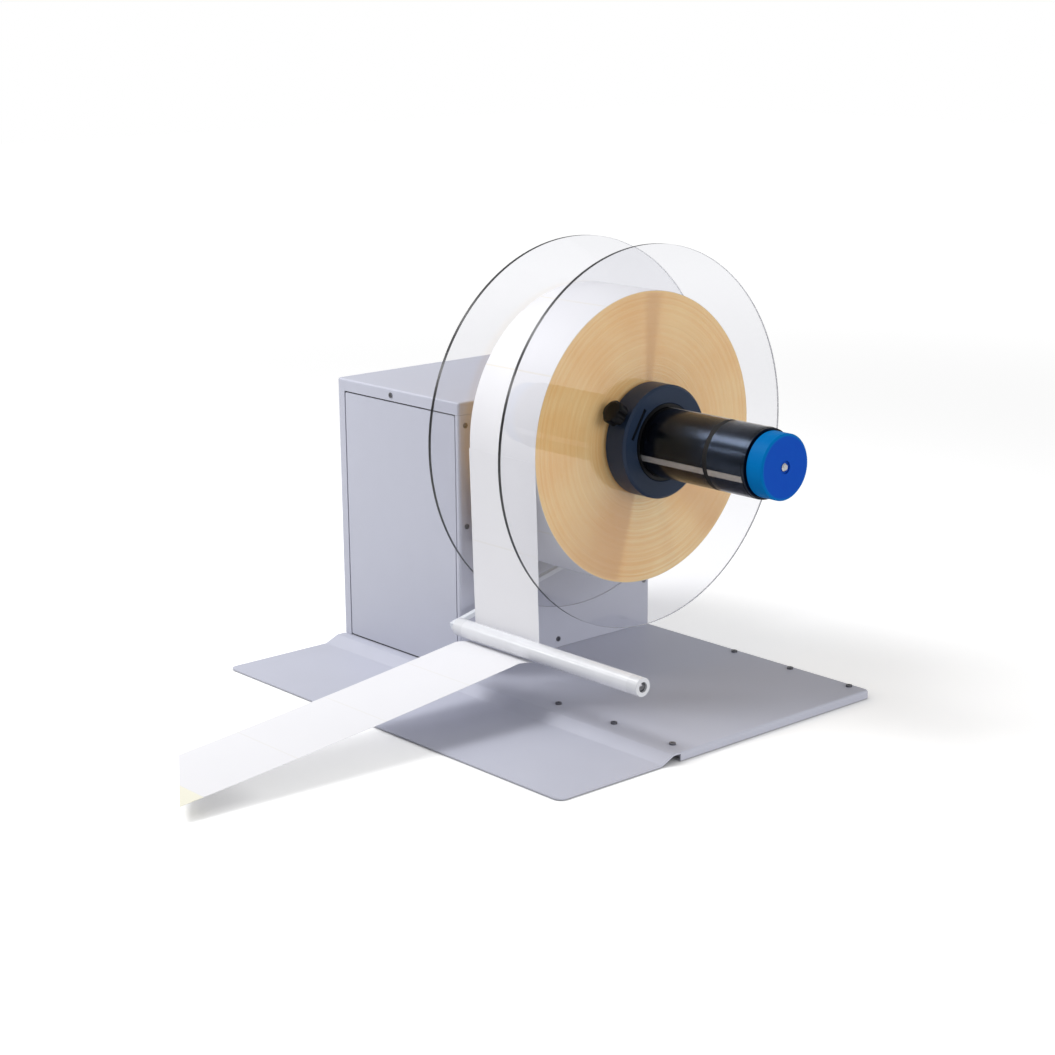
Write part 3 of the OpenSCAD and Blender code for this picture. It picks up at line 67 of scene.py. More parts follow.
# The studio: a pale floor that keeps the unwinder's shadow, a white surround,
# one large soft lamp high on the left, a weak one at the front right, and a low
# one behind that draws the bright streak along the black mandrel.
class Wire:
    """A number that a node gives out. A sum or comparison on it adds a Math node."""

    def __init__(self, finish, socket):
        self.finish = finish
        self.socket = socket

    def math(self, operation, first, second=0.0):
        return self.finish.add("Math", {"operation": operation}, {0: first, 1: second})

    def __add__(self, other):
        return self.math("ADD", self, other)

    def __radd__(self, other):
        return self.math("ADD", other, self)

    def __sub__(self, other):
        return self.math("SUBTRACT", self, other)

    def __rsub__(self, other):
        return self.math("SUBTRACT", other, self)

    def __mul__(self, other):
        return self.math("MULTIPLY", self, other)

    def __truediv__(self, other):
        return self.math("DIVIDE", self, other)

    def __pow__(self, other):
        return self.math("POWER", self, other)

    def __gt__(self, other):
        return self.math("GREATER_THAN", self, other)

    def __lt__(self, other):
        return self.math("LESS_THAN", self, other)

    def sine(self):
        return self.math("SINE", self)

    def size(self):
        return self.math("ABSOLUTE", self)

    def root(self):
        return self.math("SQRT", self)

    def fraction(self):
        return self.math("FRACT", self)

    def larger(self, other):
        return self.math("MAXIMUM", self, other)

    def angle(self, across):
        return self.math("ARCTAN2", self, across)

    def ramp(self, low, high):
        """0 where the number is at low, 1 where it is at high, smooth between."""
        return self.finish.add("MapRange", {"interpolation_type": "SMOOTHSTEP"}, {0: self, 1: low, 2: high})


class Finish:
    """A surface finish: one material, its shader, and the nodes that vary it."""

    def __init__(self, name, **plain):
        self.material = bpy.data.materials.new(name)
        self.material.use_nodes = True
        self.tree = self.material.node_tree
        self.shader = self.tree.nodes["Principled BSDF"]
        self.out = self.tree.nodes["Material Output"]
        self.feed(**plain)

    def join(self, value, socket):
        """A wire is linked to the socket, and a plain value is set on it."""
        if isinstance(value, Wire):
            self.tree.links.new(value.socket, socket)
        else:
            socket.default_value = value

    def add(self, kind, settings, sockets, out=0):
        """Any other node: its kind, its settings, the values or wires of its sockets."""
        node = self.tree.nodes.new("ShaderNode" + kind)
        for key, value in settings.items():
            setattr(node, key, value)
        for key, value in sockets.items():
            self.join(value, node.inputs[key])
        return Wire(self, node.outputs[out])

    def feed(self, **sockets):
        """Values or wires for the shader's own sockets, an underscore for each space."""
        for key, value in sockets.items():
            self.join(value, self.shader.inputs[key.replace("_", " ")])

    def mix(self, first, second, share):
        """One colour at share 0, the other at 1. The node's colour sockets are 6, 7 and out 2."""
        return self.add("Mix", {"data_type": "RGBA"}, {0: share, 6: first, 7: second}, out=2)

    def place(self):
        """The point on the object, in metres."""
        return self.add("TexCoord", {}, {}, out="Object")

    def xyz(self, point):
        """A point's three numbers."""
        return [self.add("SeparateXYZ", {}, {0: point}, out=axis) for axis in "XYZ"]

    def from_axis(self, point, axis):
        """How far a point is from the line along y that passes through axis, an (x, z)."""
        x, _, z = self.xyz(point)
        return ((x - axis[0]) ** 2.0 + (z - axis[1]) ** 2.0).root()

    def speckle(self, point, scale, detail=2.0):
        return self.add("TexNoise", {}, {"Vector": point, "Scale": scale, "Detail": detail})

    def relief(self, height, depth, strength):
        """Fine relief: a height that varies from 0 to 1 and its depth in metres."""
        self.feed(Normal=self.add("Bump", {}, {"Height": height, "Distance": depth, "Strength": strength}))


def nothing_selected():
    """Back to object mode with no piece selected."""
    if bpy.context.mode != "OBJECT":
        bpy.ops.object.mode_set(mode="OBJECT")
    bpy.ops.object.select_all(action="DESELECT")


nothing_selected()
bpy.ops.mesh.primitive_plane_add(size=16, location=(0, 0, 0))
floor = bpy.context.object
floor.name = "studio_floor"
pale = Finish("pale_floor", Base_Color=(0.8, 0.8, 0.8, 1), Roughness=0.9)
pale.feed(Specular_IOR_Level=0.0)
east, north = pale.xyz(pale.place())[:2]
away = (east ** 2.0 + north ** 2.0).root().ramp(1.2, 3.6)
seen = pale.add("LightPath", {}, {}, out="Is Camera Ray")
passed = pale.add("LightPath", {}, {}, out="Is Transmission Ray")
# the floor glows only for the camera, straight or through a disc: more far away,
# and less close under an edge, which paints a thin line of shadow along the base
# the ambient occlusion here only dims the glow: a painted shadow along the base's edges
painted_shade_ao = pale.add("AmbientOcclusion", {"samples": 4}, {"Distance": 0.025}, out="AO")
near_glow, far_gain = 0.38, 0.27
share = seen.larger(passed) * (near_glow + away * far_gain) * painted_shade_ao * painted_shade_ao
glow = pale.add("Emission", {}, {"Color": (1, 1, 1, 1), "Strength": 1.0})
dark = pale.add("Emission", {}, {"Color": (0, 0, 0, 1), "Strength": 0.0})
lift = pale.add("MixShader", {}, {0: share, 1: dark, 2: glow})
both = pale.add("AddShader", {}, {0: Wire(pale, pale.shader.outputs[0]), 1: lift})
pale.join(both, pale.out.inputs[0])
floor.data.materials.append(pale.material)

sky = bpy.data.worlds.new("studio_surround")
bpy.context.scene.world = sky
sky.use_nodes = True
sky_nodes = sky.node_tree.nodes
sky_links = sky.node_tree.links
backing = sky_nodes["Background"]
backing.inputs["Color"].default_value = (1, 1, 1, 1)
path = sky_nodes.new("ShaderNodeLightPath")
either = sky_nodes.new("ShaderNodeMath")
either.operation = "MAXIMUM"
light_level = sky_nodes.new("ShaderNodeMapRange")
light_level.inputs["To Min"].default_value = 0.47
light_level.inputs["To Max"].default_value = 1.0
sky_links.new(path.outputs["Is Camera Ray"], either.inputs[0])
sky_links.new(path.outputs["Is Transmission Ray"], either.inputs[1])
sky_links.new(either.outputs[0], light_level.inputs["Value"])
sky_links.new(light_level.outputs[0], backing.inputs["Strength"])

# each lamp: its name, its place, its width in metres and its power in watts
lamps = (("key_lamp", (-0.8, 0.85, 1.85), 0.9, 29),
         ("front_lamp", (0.5, -3.0, 0.9), 1.8, 33),
         ("streak_lamp", (-0.95, 0.87, 0.81), 0.2, 2.2))
lit_point = Vector((0, -0.05, 0.2))
for name, where, width, power in lamps:
    glow_data = bpy.data.lights.new(name, "AREA")
    glow_data.size = width
    glow_data.energy = power
    lamp = bpy.data.objects.new(name, glow_data)
    bpy.context.scene.collection.objects.link(lamp)
    aim = lit_point - Vector(where)
    lamp.matrix_world = Matrix.Translation(where) @ aim.to_track_quat("-Z", "Y").to_matrix().to_4x4()


# The base plate: one folded steel sheet, powder coated light grey like the
# cabinet. The coat has a fine orange peel, a slightly uneven gloss and faint
# smears.
def shade(colour, factor, lift=0.0):
    """The colour made darker or paler."""
    return tuple(min(1, c * factor + lift) for c in colour[:3]) + (1,)


def wear(finish, *nodes):
    """Gives carried-over pieces their finish."""
    for name in nodes:
        for worn_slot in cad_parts[name].material_slots:
            worn_slot.material = finish.material


def powder_coat(name, colour, gloss):
    """Baked powder paint: orange peel, faint clouds and smears."""
    coat = Finish(name, Metallic=0.0, Specular_IOR_Level=0.5)
    point = coat.place()
    peel = coat.speckle(point, 1400, 1.0)
    cloud = coat.speckle(point, 9, 3.0)
    smear = coat.speckle(point, 40, 4.0)
    patchy = cloud * 0.7 + smear * 0.3
    coat.feed(Base_Color=coat.mix(shade(colour, 0.95), shade(colour, 1.04), patchy))
    coat.feed(Roughness=gloss + (smear - 0.5) * 0.1 + (peel - 0.5) * 0.05)
    coat.relief(peel * 0.6 + smear * 0.4, 0.00002, 0.5)
    return coat


grey_coat = powder_coat("grey_powder_coat", (0.515, 0.528, 0.615, 1), 0.4)
wear(grey_coat, "base_plate")


# Rails and rubber pads under the tray: two zinc-plated flats that carry the
# screws, and moulded pads glued on below.
def plated_steel(name, colour, gloss):
    """Zinc-plated sheet with its spangle and dull blots."""
    zinc = Finish(name, Metallic=1.0)
    point = zinc.place()
    spangle = zinc.add("TexVoronoi", {}, {"Vector": point, "Scale": 160.0}, out="Distance")
    blot = zinc.speckle(point, 60, 3.0)
    fine = zinc.speckle(point, 900, 2.0)
    zinc.feed(Base_Color=zinc.mix(shade(colour, 0.82), colour, blot * 0.6 + spangle * 0.5))
    zinc.feed(Roughness=gloss + (blot - 0.5) * 0.16 + (fine - 0.5) * 0.06)
    zinc.relief(fine, 0.00001, 0.4)
    return zinc


def rubber(name, colour, gloss):
    """Dull moulded rubber with a faint grey bloom."""
    black = Finish(name, Specular_IOR_Level=0.2)
    point = black.place()
    grain = black.speckle(point, 1500, 2.0)
    bloom = black.speckle(point, 70, 3.0)
    black.feed(Base_Color=black.mix(colour, shade(colour, 1, 0.008), bloom))
    black.feed(Roughness=gloss + (bloom - 0.5) * 0.15)
    black.relief(grain, 0.00003, 0.6)
    return black


zinc_colour = (0.6, 0.6, 0.62, 1)
zinc_plate = plated_steel("zinc_plate", zinc_colour, 0.38)
soft_rubber = rubber("black_rubber", (0.008, 0.008, 0.009, 1), 0.7)
wear(zinc_plate, "base_rails")
wear(soft_rubber, "rubber_feet")


# Screws of the tray and cabinet: low pan heads with a cross recess, dark
# plated, turned down onto the paint. One head is made and copied.
def blackened(name, colour, gloss):
    """Dark plated steel, rubbed paler in places."""
    steel = Finish(name, Metallic=1.0)
    point = steel.place()
    worn = steel.speckle(point, 500, 3.0)
    steel.feed(Base_Color=steel.mix(colour, shade(colour, 1.8), worn.ramp(0.5, 0.75)))
    steel.feed(Roughness=gloss + (worn - 0.5) * 0.2)
    steel.relief(worn, 0.00001, 0.5)
    return steel


dark_plate = blackened("dark_screw_plate", (0.17, 0.17, 0.185, 1), 0.32)


def faces_selected(piece, test):
    """Leaves the piece in edit mode with only the faces that pass the test selected."""
    bpy.ops.object.mode_set(mode="EDIT")
    bpy.ops.mesh.select_mode(type="FACE")
    bpy.ops.mesh.select_all(action="DESELECT")
    bpy.ops.object.mode_set(mode="OBJECT")
    for face in piece.data.polygons:
        face.select = test(face)
    bpy.ops.object.mode_set(mode="EDIT")


def pan_screw(name, head_r, head_h, shank_r, shank):
    """A pan-head screw standing on the origin, its shank going down."""
    nothing_selected()
    middle = (0, 0, head_h / 2)
    bpy.ops.mesh.primitive_cylinder_add(vertices=32, radius=head_r, depth=head_h, location=middle)
    screw = bpy.context.object
    screw.name = name
    faces_selected(screw, lambda face: face.normal.z < -0.9)
    bpy.ops.mesh.inset(thickness=head_r - shank_r)
    bpy.ops.mesh.extrude_region_move(TRANSFORM_OT_translate={"value": (0, 0, -shank)})
    faces_selected(screw, lambda face: face.normal.z > 0.9 and face.center.z > head_h * 0.9)
    bpy.ops.mesh.bevel(offset=head_h * 0.45, segments=4, affect="EDGES")
    nothing_selected()
    arms = []
    for turn in (0, math.pi / 2):
        bpy.ops.mesh.primitive_cube_add(size=1, location=(0, 0, head_h * 0.8), rotation=(0, 0, turn))
        arm = bpy.context.object
        arm.scale = (head_r * 1.05, head_r * 0.24, head_h * 0.9)
        bpy.ops.object.transform_apply(location=True, rotation=True, scale=True)
        arms.append(arm)
    for arm in arms:
        cut = screw.modifiers.new("recess", "BOOLEAN")
        cut.operation = "DIFFERENCE"
        cut.solver = "EXACT"
        cut.object = arm
        nothing_selected()
        bpy.context.view_layer.objects.active = screw
        screw.select_set(True)
        bpy.ops.object.modifier_apply(modifier="recess")
        bpy.data.objects.remove(arm)
    nothing_selected()
    bpy.context.view_layer.objects.active = screw
    screw.select_set(True)
    bpy.ops.object.shade_smooth_by_angle(angle=math.radians(40))
    screw.data.materials.append(dark_plate.material)
    return screw


def screw_set(name, pattern, places):
    """Joined copies of a screw, each at (place, where its head faces, turn of its cross)."""
    made = []
    for place, facing, turn in places:
        one = pattern.copy()
        one.data = pattern.data.copy()
        bpy.context.scene.collection.objects.link(one)
        aimed = Vector(facing).to_track_quat("Z", "Y").to_matrix().to_4x4()
        one.data.transform(Matrix.Translation(place) @ (aimed @ Matrix.Rotation(turn, 4, "Z")))
        made.append(one)
    nothing_selected()
    for one in made:
        one.select_set(True)
    bpy.context.view_layer.objects.active = made[0]
    bpy.ops.object.join()
    made[0].name = name
    bpy.data.objects.remove(pattern)
    return made[0]


tray_top = 0.01
screw_columns = (-0.1365, 0.1365)
tray_rows = (-0.3235, -0.2375, -0.1515)
tray_screw = pan_screw("tray_screw_pattern", 0.0035, 0.002, 0.002, 0.004)
# no two crosses point the same way, so their turn follows from their place
tray_places = [((x, y, tray_top), (0, 0, 1), 0.4 + 9 * x + 31 * y) for x in screw_columns for y in tray_rows]
tray_screws = screw_set("tray_screws", tray_screw, tray_places)
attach(tray_screws, "cabinet")
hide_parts("base_screws")


# The cabinet: a folded outer cover (top, lips and rear), a front panel and
# two flush side panels over a plated chassis that stands on the tray. All
# four outer sheets have the same grey coat.
def chassis_with_gap_shade(name, colour, gloss, edge):
    """Zinc plate with a dull black band behind the side panels' joints: painted shade that darkens the gaps.
    """
    plate = plated_steel(name, colour, gloss)
    # past this edge the plate is painted black and dull: painted shade in the panel gaps
    gap_shade = plate.xyz(plate.place())[0].size() > edge
    bare = Wire(plate, plate.shader.inputs["Base Color"].links[0].from_socket)
    plate.feed(Base_Color=plate.mix(bare, (0.03, 0.03, 0.035, 1), gap_shade))
    plate.feed(Metallic=1 - gap_shade)
    return plate


gap_shade_from = 0.1432
chassis_plate = chassis_with_gap_shade("chassis_plate_gap_shade", zinc_colour, 0.38, gap_shade_from)
wear(chassis_plate, "chassis")
wear(grey_coat, "outer_cover", "front_panel", "left_side_panel", "right_side_panel")
front_face, rear_face, lip_face = 0.0, 0.2185, 0.1455
heights = (0.0645, 0.178, 0.2915)
cabinet_screw = pan_screw("cabinet_screw_pattern", 0.00305, 0.00175, 0.00175, 0.004)
cabinet_places = [((x, front_face, z), (0, -1, 0), 7 * x + 40 * z) for x in screw_columns for z in heights]
cabinet_places += [((x, rear_face, z), (0, 1, 0), 5 * x + 33 * z) for x in screw_columns for z in heights]
cabinet_places += [((0, front_face, 0.0195), (0, -1, 0), 0.6)]
cabinet_places += [((side * lip_face, 0.118, 0.310), (side, 0, 0), 0.3) for side in (-1, 1)]
cabinet_screws = screw_set("cabinet_cover_screws", cabinet_screw, cabinet_places)
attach(cabinet_screws, "cabinet")
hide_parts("cabinet_screws")


# Bearing plate and spindle housing behind the front panel, machined from
# aluminium, with two ball bearings. Turned faces keep faint tool rings.
def machined(name, colour, gloss, axis):
    """Bare machined aluminium, its tool rings centred on the axis (x, z)."""
    metal = Finish(name, Metallic=1.0)
    point = metal.place()
    rings = (metal.from_axis(point, axis) * 9000).sine()
    blot = metal.speckle(point, 50, 3.0)
    metal.feed(Base_Color=metal.mix(shade(colour, 0.86), colour, blot * 0.8 + rings * 0.1 + 0.1))
    metal.feed(Roughness=gloss + (blot - 0.5) * 0.12 + rings * 0.03)
    metal.relief(rings, 0.000006, 0.5)
    return metal


spindle_axis = (0.0, 0.2803)
aluminium_colour = (0.62, 0.63, 0.65, 1)
turned_aluminium = machined("turned_aluminium", aluminium_colour, 0.32, spindle_axis)
ground_steel = machined("ground_steel", (0.66, 0.66, 0.68, 1), 0.16, spindle_axis)
wear(turned_aluminium, "bearing_plate", "spindle_housing", "driven_pulley", "rear_cone", "front_cone")
wear(ground_steel, "bearing_outer_rings", "bearing_inner_rings", "spindle_shaft", "draw_rod")
wear(dark_plate, "housing_bolts")


# Drive: a gear motor on a plated bracket turns the spindle through a ribbed
# belt and two pulleys.
motor_axis = (0.062, 0.15)
motor_paint = powder_coat("dark_motor_paint", (0.045, 0.05, 0.062, 1), 0.36)
motor_alloy = machined("motor_pulley_alloy", aluminium_colour, 0.3, motor_axis)
wear(soft_rubber, "drive_belt")
wear(motor_paint, "gear_motor")
wear(zinc_plate, "motor_bracket")
wear(motor_alloy, "motor_pulley")


# Inner hub and clear disc: a dark anodised hub carries a polished clear disc
# whose sawn edge is tinted dark, painted shade that draws it as a dark line.
def anodised(name, colour, gloss, axis, shine):
    """Anodised aluminium: a dyed skin over fine turning marks."""
    skin = Finish(name, Metallic=0.0, Specular_IOR_Level=shine)
    point = skin.place()
    marks = (skin.from_axis(point, axis) * 7000).sine()
    cloud = skin.speckle(point, 24, 3.0)
    grain = skin.speckle(point, 1800, 1.0)
    skin.feed(Base_Color=skin.mix(shade(colour, 0.8), colour, cloud * 0.9 + marks * 0.05 + 0.05))
    skin.feed(Roughness=gloss + (cloud - 0.5) * 0.1 + (grain - 0.5) * 0.08)
    skin.relief(grain * 0.5 + marks * 0.5, 0.000006, 0.5)
    return skin


def clear_sheet(name, rim_from):
    """Polished acrylic with a dull rim tinted dark as painted shade, that lets lamps and soft light through.
    """
    pane = Finish(name, Transmission_Weight=1.0, IOR=1.49, Specular_IOR_Level=0.5)
    point = pane.place()
    rim = pane.from_axis(point, spindle_axis) > rim_from
    haze = pane.speckle(point, 14, 4.0)
    # the rim's near-black tint is painted shade, not the colour of the acrylic
    pane.feed(Base_Color=pane.mix((0.885, 0.887, 0.91, 1), (0.05, 0.053, 0.066, 1), rim))
    pane.feed(Roughness=0.01 + haze.ramp(0.45, 0.8) * 0.02 + rim * 0.3)
    to_lamp = pane.add("LightPath", {}, {}, out="Is Shadow Ray")
    bounced = pane.add("LightPath", {}, {}, out="Is Diffuse Ray")
    open_pane = pane.add("BsdfTransparent", {}, {0: (0.95, 0.95, 0.955, 1)})
    sheen = Wire(pane, pane.shader.outputs[0])
    whole = pane.add("MixShader", {}, {0: to_lamp.larger(bounced), 1: sheen, 2: open_pane})
    pane.join(whole, pane.out.inputs[0])
    return pane


def satin_plastic(name, colour, gloss, shine=0.5):
    """Moulded plastic with a fine grain."""
    shell = Finish(name, Specular_IOR_Level=shine)
    point = shell.place()
    cloud = shell.speckle(point, 45, 3.0)
    grain = shell.speckle(point, 1600, 2.0)
    shell.feed(Base_Color=shell.mix(colour, shade(colour, 1.12, 0.002), cloud))
    shell.feed(Roughness=gloss + (cloud - 0.5) * 0.1)
    shell.relief(grain, 0.00001, 0.5)
    return shell


slate_hub = anodised("slate_anodised", (0.018, 0.033, 0.068, 1), 0.38, spindle_axis, 0.25)
clear_acrylic = clear_sheet("clear_acrylic", 0.20985)
black_shell = satin_plastic("black_plastic", (0.004, 0.004, 0.005, 1), 0.34, 0.25)
wear(slate_hub, "inner_hub")
wear(clear_acrylic, "inner_disc")
wear(black_shell, "core_stop_ring")
wear(dark_plate, "hub_screws")


# The mandrel: a gloss black anodised tube with an end ring, two cones on a
# draw rod inside, three knurled bars in its slots and two rubber bands that
# pull the bars in.
def gloss_black(name):
    """Black anodised tube, wiped unevenly, with a cold sheen and fine lines along it."""
    tube = Finish(name, Base_Color=(0.0015, 0.0015, 0.002, 1), Specular_IOR_Level=0.34, Metallic=0.0)
    tube.feed(Specular_Tint=(0.4, 0.6, 1.0, 1))
    point = tube.place()
    streaks = tube.add("Mapping", {}, {"Vector": point, "Scale": (260.0, 8.0, 260.0)})
    fine = tube.speckle(streaks, 4.0, 3.0)
    wipe = tube.speckle(point, 18, 3.0)
    tube.feed(Roughness=0.21 + (wipe - 0.5) * 0.06 + (fine - 0.5) * 0.012)
    tube.relief(fine, 0.0000015, 0.15)
    return tube


def knurled(name):
    """Bright steel with a fine diamond knurl."""
    grip = Finish(name, Metallic=0.85)
    point = grip.place()
    x, y, z = grip.xyz(point)
    one_way = ((y + x * 1.4 + z) * 4200).sine()
    other_way = ((y - x * 1.4 - z) * 4200).sine()
    diamonds = one_way * other_way
    grime = grip.speckle(point, 120, 3.0)
    bright = diamonds * 0.35 + 0.45 + (grime - 0.5) * 0.5
    grip.feed(Base_Color=grip.mix((0.24, 0.235, 0.23, 1), (0.66, 0.64, 0.62, 1), bright))
    grip.feed(Roughness=0.42 + (grime - 0.5) * 0.2)
    grip.relief(diamonds, 0.00012, 0.8)
    return grip


black_tube = gloss_black("gloss_black_anodised")
bar_steel = knurled("knurled_bar_steel")
wear(black_tube, "mandrel_tube", "mandrel_end_ring")
wear(bar_steel, "expanding_bar_top", "expanding_bar_left", "expanding_bar_right")
wear(soft_rubber, "retaining_bands")


# The end knob: a moulded blue cap screwed to the draw rod, with a bright
# screw in its dimple.
def bright_plate(name):
    """Bright zinc with a few dull specks."""
    chrome = Finish(name, Metallic=1.0)
    point = chrome.place()
    worn = chrome.speckle(point, 400, 3.0)
    chrome.feed(Base_Color=chrome.mix((0.55, 0.55, 0.56, 1), (0.8, 0.8, 0.81, 1), worn))
    chrome.feed(Roughness=0.2 + (worn - 0.5) * 0.14)
    return chrome


def knob_plastic(name, face, rim):
    """Blue plastic painted darker on the flat face and paler on the rim: painted shade and painted light."""
    shell = satin_plastic(name, face, 0.4, 0.02)
    point = shell.place()
    rim_light_share = shell.from_axis(point, spindle_axis).ramp(0.031, 0.0346)
    cloud = shell.speckle(point, 60, 2.0)
    shell.feed(Base_Color=shell.mix(face, rim, rim_light_share * 0.9 + (cloud - 0.5) * 0.12 + 0.06))
    return shell


# one blue plastic in two tones: the deeper face is painted shade, the paler rim painted light
blue_shell = knob_plastic("blue_knob_face_shade_plastic", (0.008, 0.064, 0.43, 1), (0.0, 0.16, 0.46, 1))
bright_screw = bright_plate("bright_screw_plate")
wear(blue_shell, "mandrel_knob")
wear(bright_screw, "knob_screw")
wear(dark_plate, "axle_screw")


# The roll: a cardboard core, and labels on amber liner wound tight round it.
# The ends show every turn as a fine ring, a few turns stand out, and some angles
# are darker, in rays; the soft ray at about half past four is a painted shadow,
# and a painted highlight runs along the outer edge of each end. The outside is the label face.
def cardboard(name):
    """Grey-brown board with its plies as rings at the ends."""
    board = Finish(name, Specular_IOR_Level=0.2)
    point = board.place()
    fibre = board.speckle(point, 700, 4.0)
    plies = (board.from_axis(point, spindle_axis) * 9000).sine()
    board.feed(Base_Color=board.mix((0.3, 0.2, 0.11, 1), (0.5, 0.37, 0.22, 1), fibre * 0.8 + plies * 0.15))
    board.feed(Roughness=0.85 + (fibre - 0.5) * 0.15)
    board.relief(fibre, 0.00006, 0.6)
    return board


def label_face(name, gap_heights, gap_runs, bare_from=-9.0):
    """White label paper, faint gaps at heights and at runs along x, bare liner past bare_from."""
    paper = Finish(name, Specular_IOR_Level=0.4)
    point = paper.place()
    x, _, z = paper.xyz(point)
    fibre = paper.speckle(point, 1100, 3.0)
    cloud = paper.speckle(point, 7, 2.0)
    gaps = 0.0
    for along, stops in ((z, gap_heights), (x, gap_runs)):
        for stop in stops:
            gaps = gaps + ((along - stop).size() < half_gap)
    white = paper.mix((0.79, 0.787, 0.815, 1), (0.83, 0.827, 0.855, 1), cloud)
    liner = (0.84, 0.82, 0.69, 1)
    labelled = paper.mix(white, (0.72, 0.69, 0.62, 1), gaps * 0.22)
    paper.feed(Base_Color=paper.mix(labelled, liner, x < bare_from))
    paper.feed(Roughness=0.5 + (fibre - 0.5) * 0.1 + gaps * 0.15)
    paper.relief(fibre * 0.3 - gaps * 0.5, 0.00004, 0.4)
    return paper


def wound_labels(name, outside, pitch):
    """Label paper outside, and at both ends the amber edges of the turns with their darker rays and a
    painted highlight along the outer edge.
    """
    wound = Finish(name, Specular_IOR_Level=0.3)
    point = wound.place()
    x, _, z = wound.xyz(point)
    out = wound.from_axis(point, spindle_axis)
    turn = (z - spindle_axis[1]).angle(x)
    along_radius = {"noise_dimensions": "1D"}
    fine = wound.add("TexNoise", along_radius, {"W": out * 900, "Scale": 1.0, "Detail": 2.0})
    broad = wound.add("TexNoise", along_radius, {"W": out * 240, "Scale": 1.0, "Detail": 3.0})
    cloud = wound.speckle(point, 16, 3.0)
    # the angle downwards from three o'clock, in radians, slightly ragged
    down = 0 - (turn + (broad - 0.5) * 0.05)
    rays = down.ramp(1.80, 1.88) * (1 - down.ramp(1.92, 2.75)) * 0.75
    # each thin ray: its angle, its half width and how dark it is
    # the ray at 0.74, about half past four, is a painted soft shadow
    thin_rays = ((-1.50, 0.12, 0.62), (-1.60, 0.4, 0.15), (0.74, 0.3, 0.5), (1.3, 0.1, 0.12))
    for centre, spread, depth in thin_rays:
        rays = rays + (1 - (down - centre).size().ramp(spread * 0.2, spread)) * depth
    pale_part = down.ramp(1.0, 1.3) * (1 - down.ramp(1.76, 1.84))
    coarse_turns = broad.ramp(0.34, 0.66) * (0.2 + pale_part * cloud * 0.4)
    turns_seen = fine.ramp(0.3, 0.7) * 0.25 + coarse_turns + cloud.ramp(0.3, 0.7) * 0.35
    amber = wound.mix((0.9, 0.49, 0.16, 1), (1.0, 0.76, 0.38, 1), turns_seen + pale_part * 0.05)
    shaded = wound.mix(amber, (0.68, 0.34, 0.13, 1), rays * 0.75)
    # a paler band along the outer edge of each end: a painted highlight
    painted_edge_highlight = out.ramp(outside - 0.004, outside - 0.0015)
    side = wound.mix(shaded, (0.95, 0.66, 0.3, 1), painted_edge_highlight * 0.6)
    labels_round = turn * outside / pitch + 0.5
    gap = (labels_round.fraction() - 0.5).size() < half_gap / pitch
    face = wound.mix((0.82, 0.817, 0.845, 1), (0.76, 0.7, 0.56, 1), gap * 0.4)
    skin = out > outside - 0.0003
    wound.feed(Base_Color=wound.mix(side, face, skin))
    wound.feed(Roughness=0.55 + (fine - 0.5) * 0.15 - skin * 0.06)
    wound.relief((fine * 0.3 + broad) * (1 - skin), 0.0001, 0.5)
    return wound


core_board = cardboard("core_cardboard")
wear(core_board, "core_tube")
half_gap = 0.0009
roll_in, roll_out, roll_front, roll_back = 0.04315, 0.16, -0.142, -0.037
wound = wound_labels("wound_labels", roll_out, 0.1034)
# from the core outwards: a turn's radius, and how far it stands back
turns = [(roll_in, 0.0006), (0.0445, 0.0002), (0.058, 0.0001), (0.0583, 0.0003), (0.079, 0.0003),
         (0.0793, 0.0001), (0.101, 0.0), (0.1013, 0.0002), (0.124, 0.0002), (0.1243, 0.0),
         (0.143, 0.0001), (0.1433, 0.0003), (0.1592, 0.0003), (roll_out, 0.0008)]
outline = [(r, roll_front + back) for r, back in turns]
outline += [(roll_out, roll_back - 0.0008)] + [(r, roll_back - back) for r, back in reversed(turns)]
nothing_selected()
bpy.ops.mesh.primitive_circle_add(vertices=192, radius=outline[0][0],
                                  location=(0, outline[0][1], spindle_axis[1]), rotation=(math.pi / 2, 0, 0))
label_winding = bpy.context.object
label_winding.name = "label_winding"
bpy.ops.object.mode_set(mode="EDIT")
bpy.ops.mesh.select_mode(type="VERT")
bpy.ops.mesh.select_all(action="SELECT")
for (r0, y0), (r1, y1) in zip(outline, outline[1:] + outline[:1]):
    bpy.ops.mesh.extrude_region_move(TRANSFORM_OT_translate={"value": (0, y1 - y0, 0)})
    if abs(r1 - r0) > 1e-9:
        bpy.ops.transform.resize(value=(r1 / r0, 1, r1 / r0), center_override=(0, y1, spindle_axis[1]))
bpy.ops.mesh.select_all(action="SELECT")
bpy.ops.mesh.remove_doubles(threshold=0.00002)
bpy.ops.mesh.normals_make_consistent(inside=False)
nothing_selected()
label_winding.select_set(True)
bpy.context.view_layer.objects.active = label_winding
bpy.ops.object.transform_apply(location=True, rotation=True, scale=True)
bpy.ops.object.shade_smooth_by_angle(angle=math.radians(30))
label_winding.data.materials.append(wound.material)
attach(label_winding, "spindle")
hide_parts("label_roll")


# Outer disc and hub: the clear disc is screwed to an anodised hub that slides
# on a black sleeve; a steel nut plate fills the hub's slot, and a star knob
# presses a brass shoe onto the mandrel.
shoe_brass = machined("turned_brass", (0.62, 0.43, 0.17, 1), 0.28, spindle_axis)
wear(clear_acrylic, "outer_disc")
wear(slate_hub, "outer_hub")
glossy_shell = satin_plastic("glossy_black_plastic", (0.002, 0.002, 0.0025, 1), 0.22, 0.16)
wear(black_shell, "hub_sleeve")
wear(glossy_shell, "star_knob")
# the nut plate is near black as painted shade, so that the hub's slot reads dark
nut_steel = blackened("slot_shade_nut_steel", (0.012, 0.012, 0.013, 1), 0.55)
wear(nut_steel, "nut_plate")
wear(shoe_brass, "clamp_shoe")
wear(dark_plate, "disc_screws")


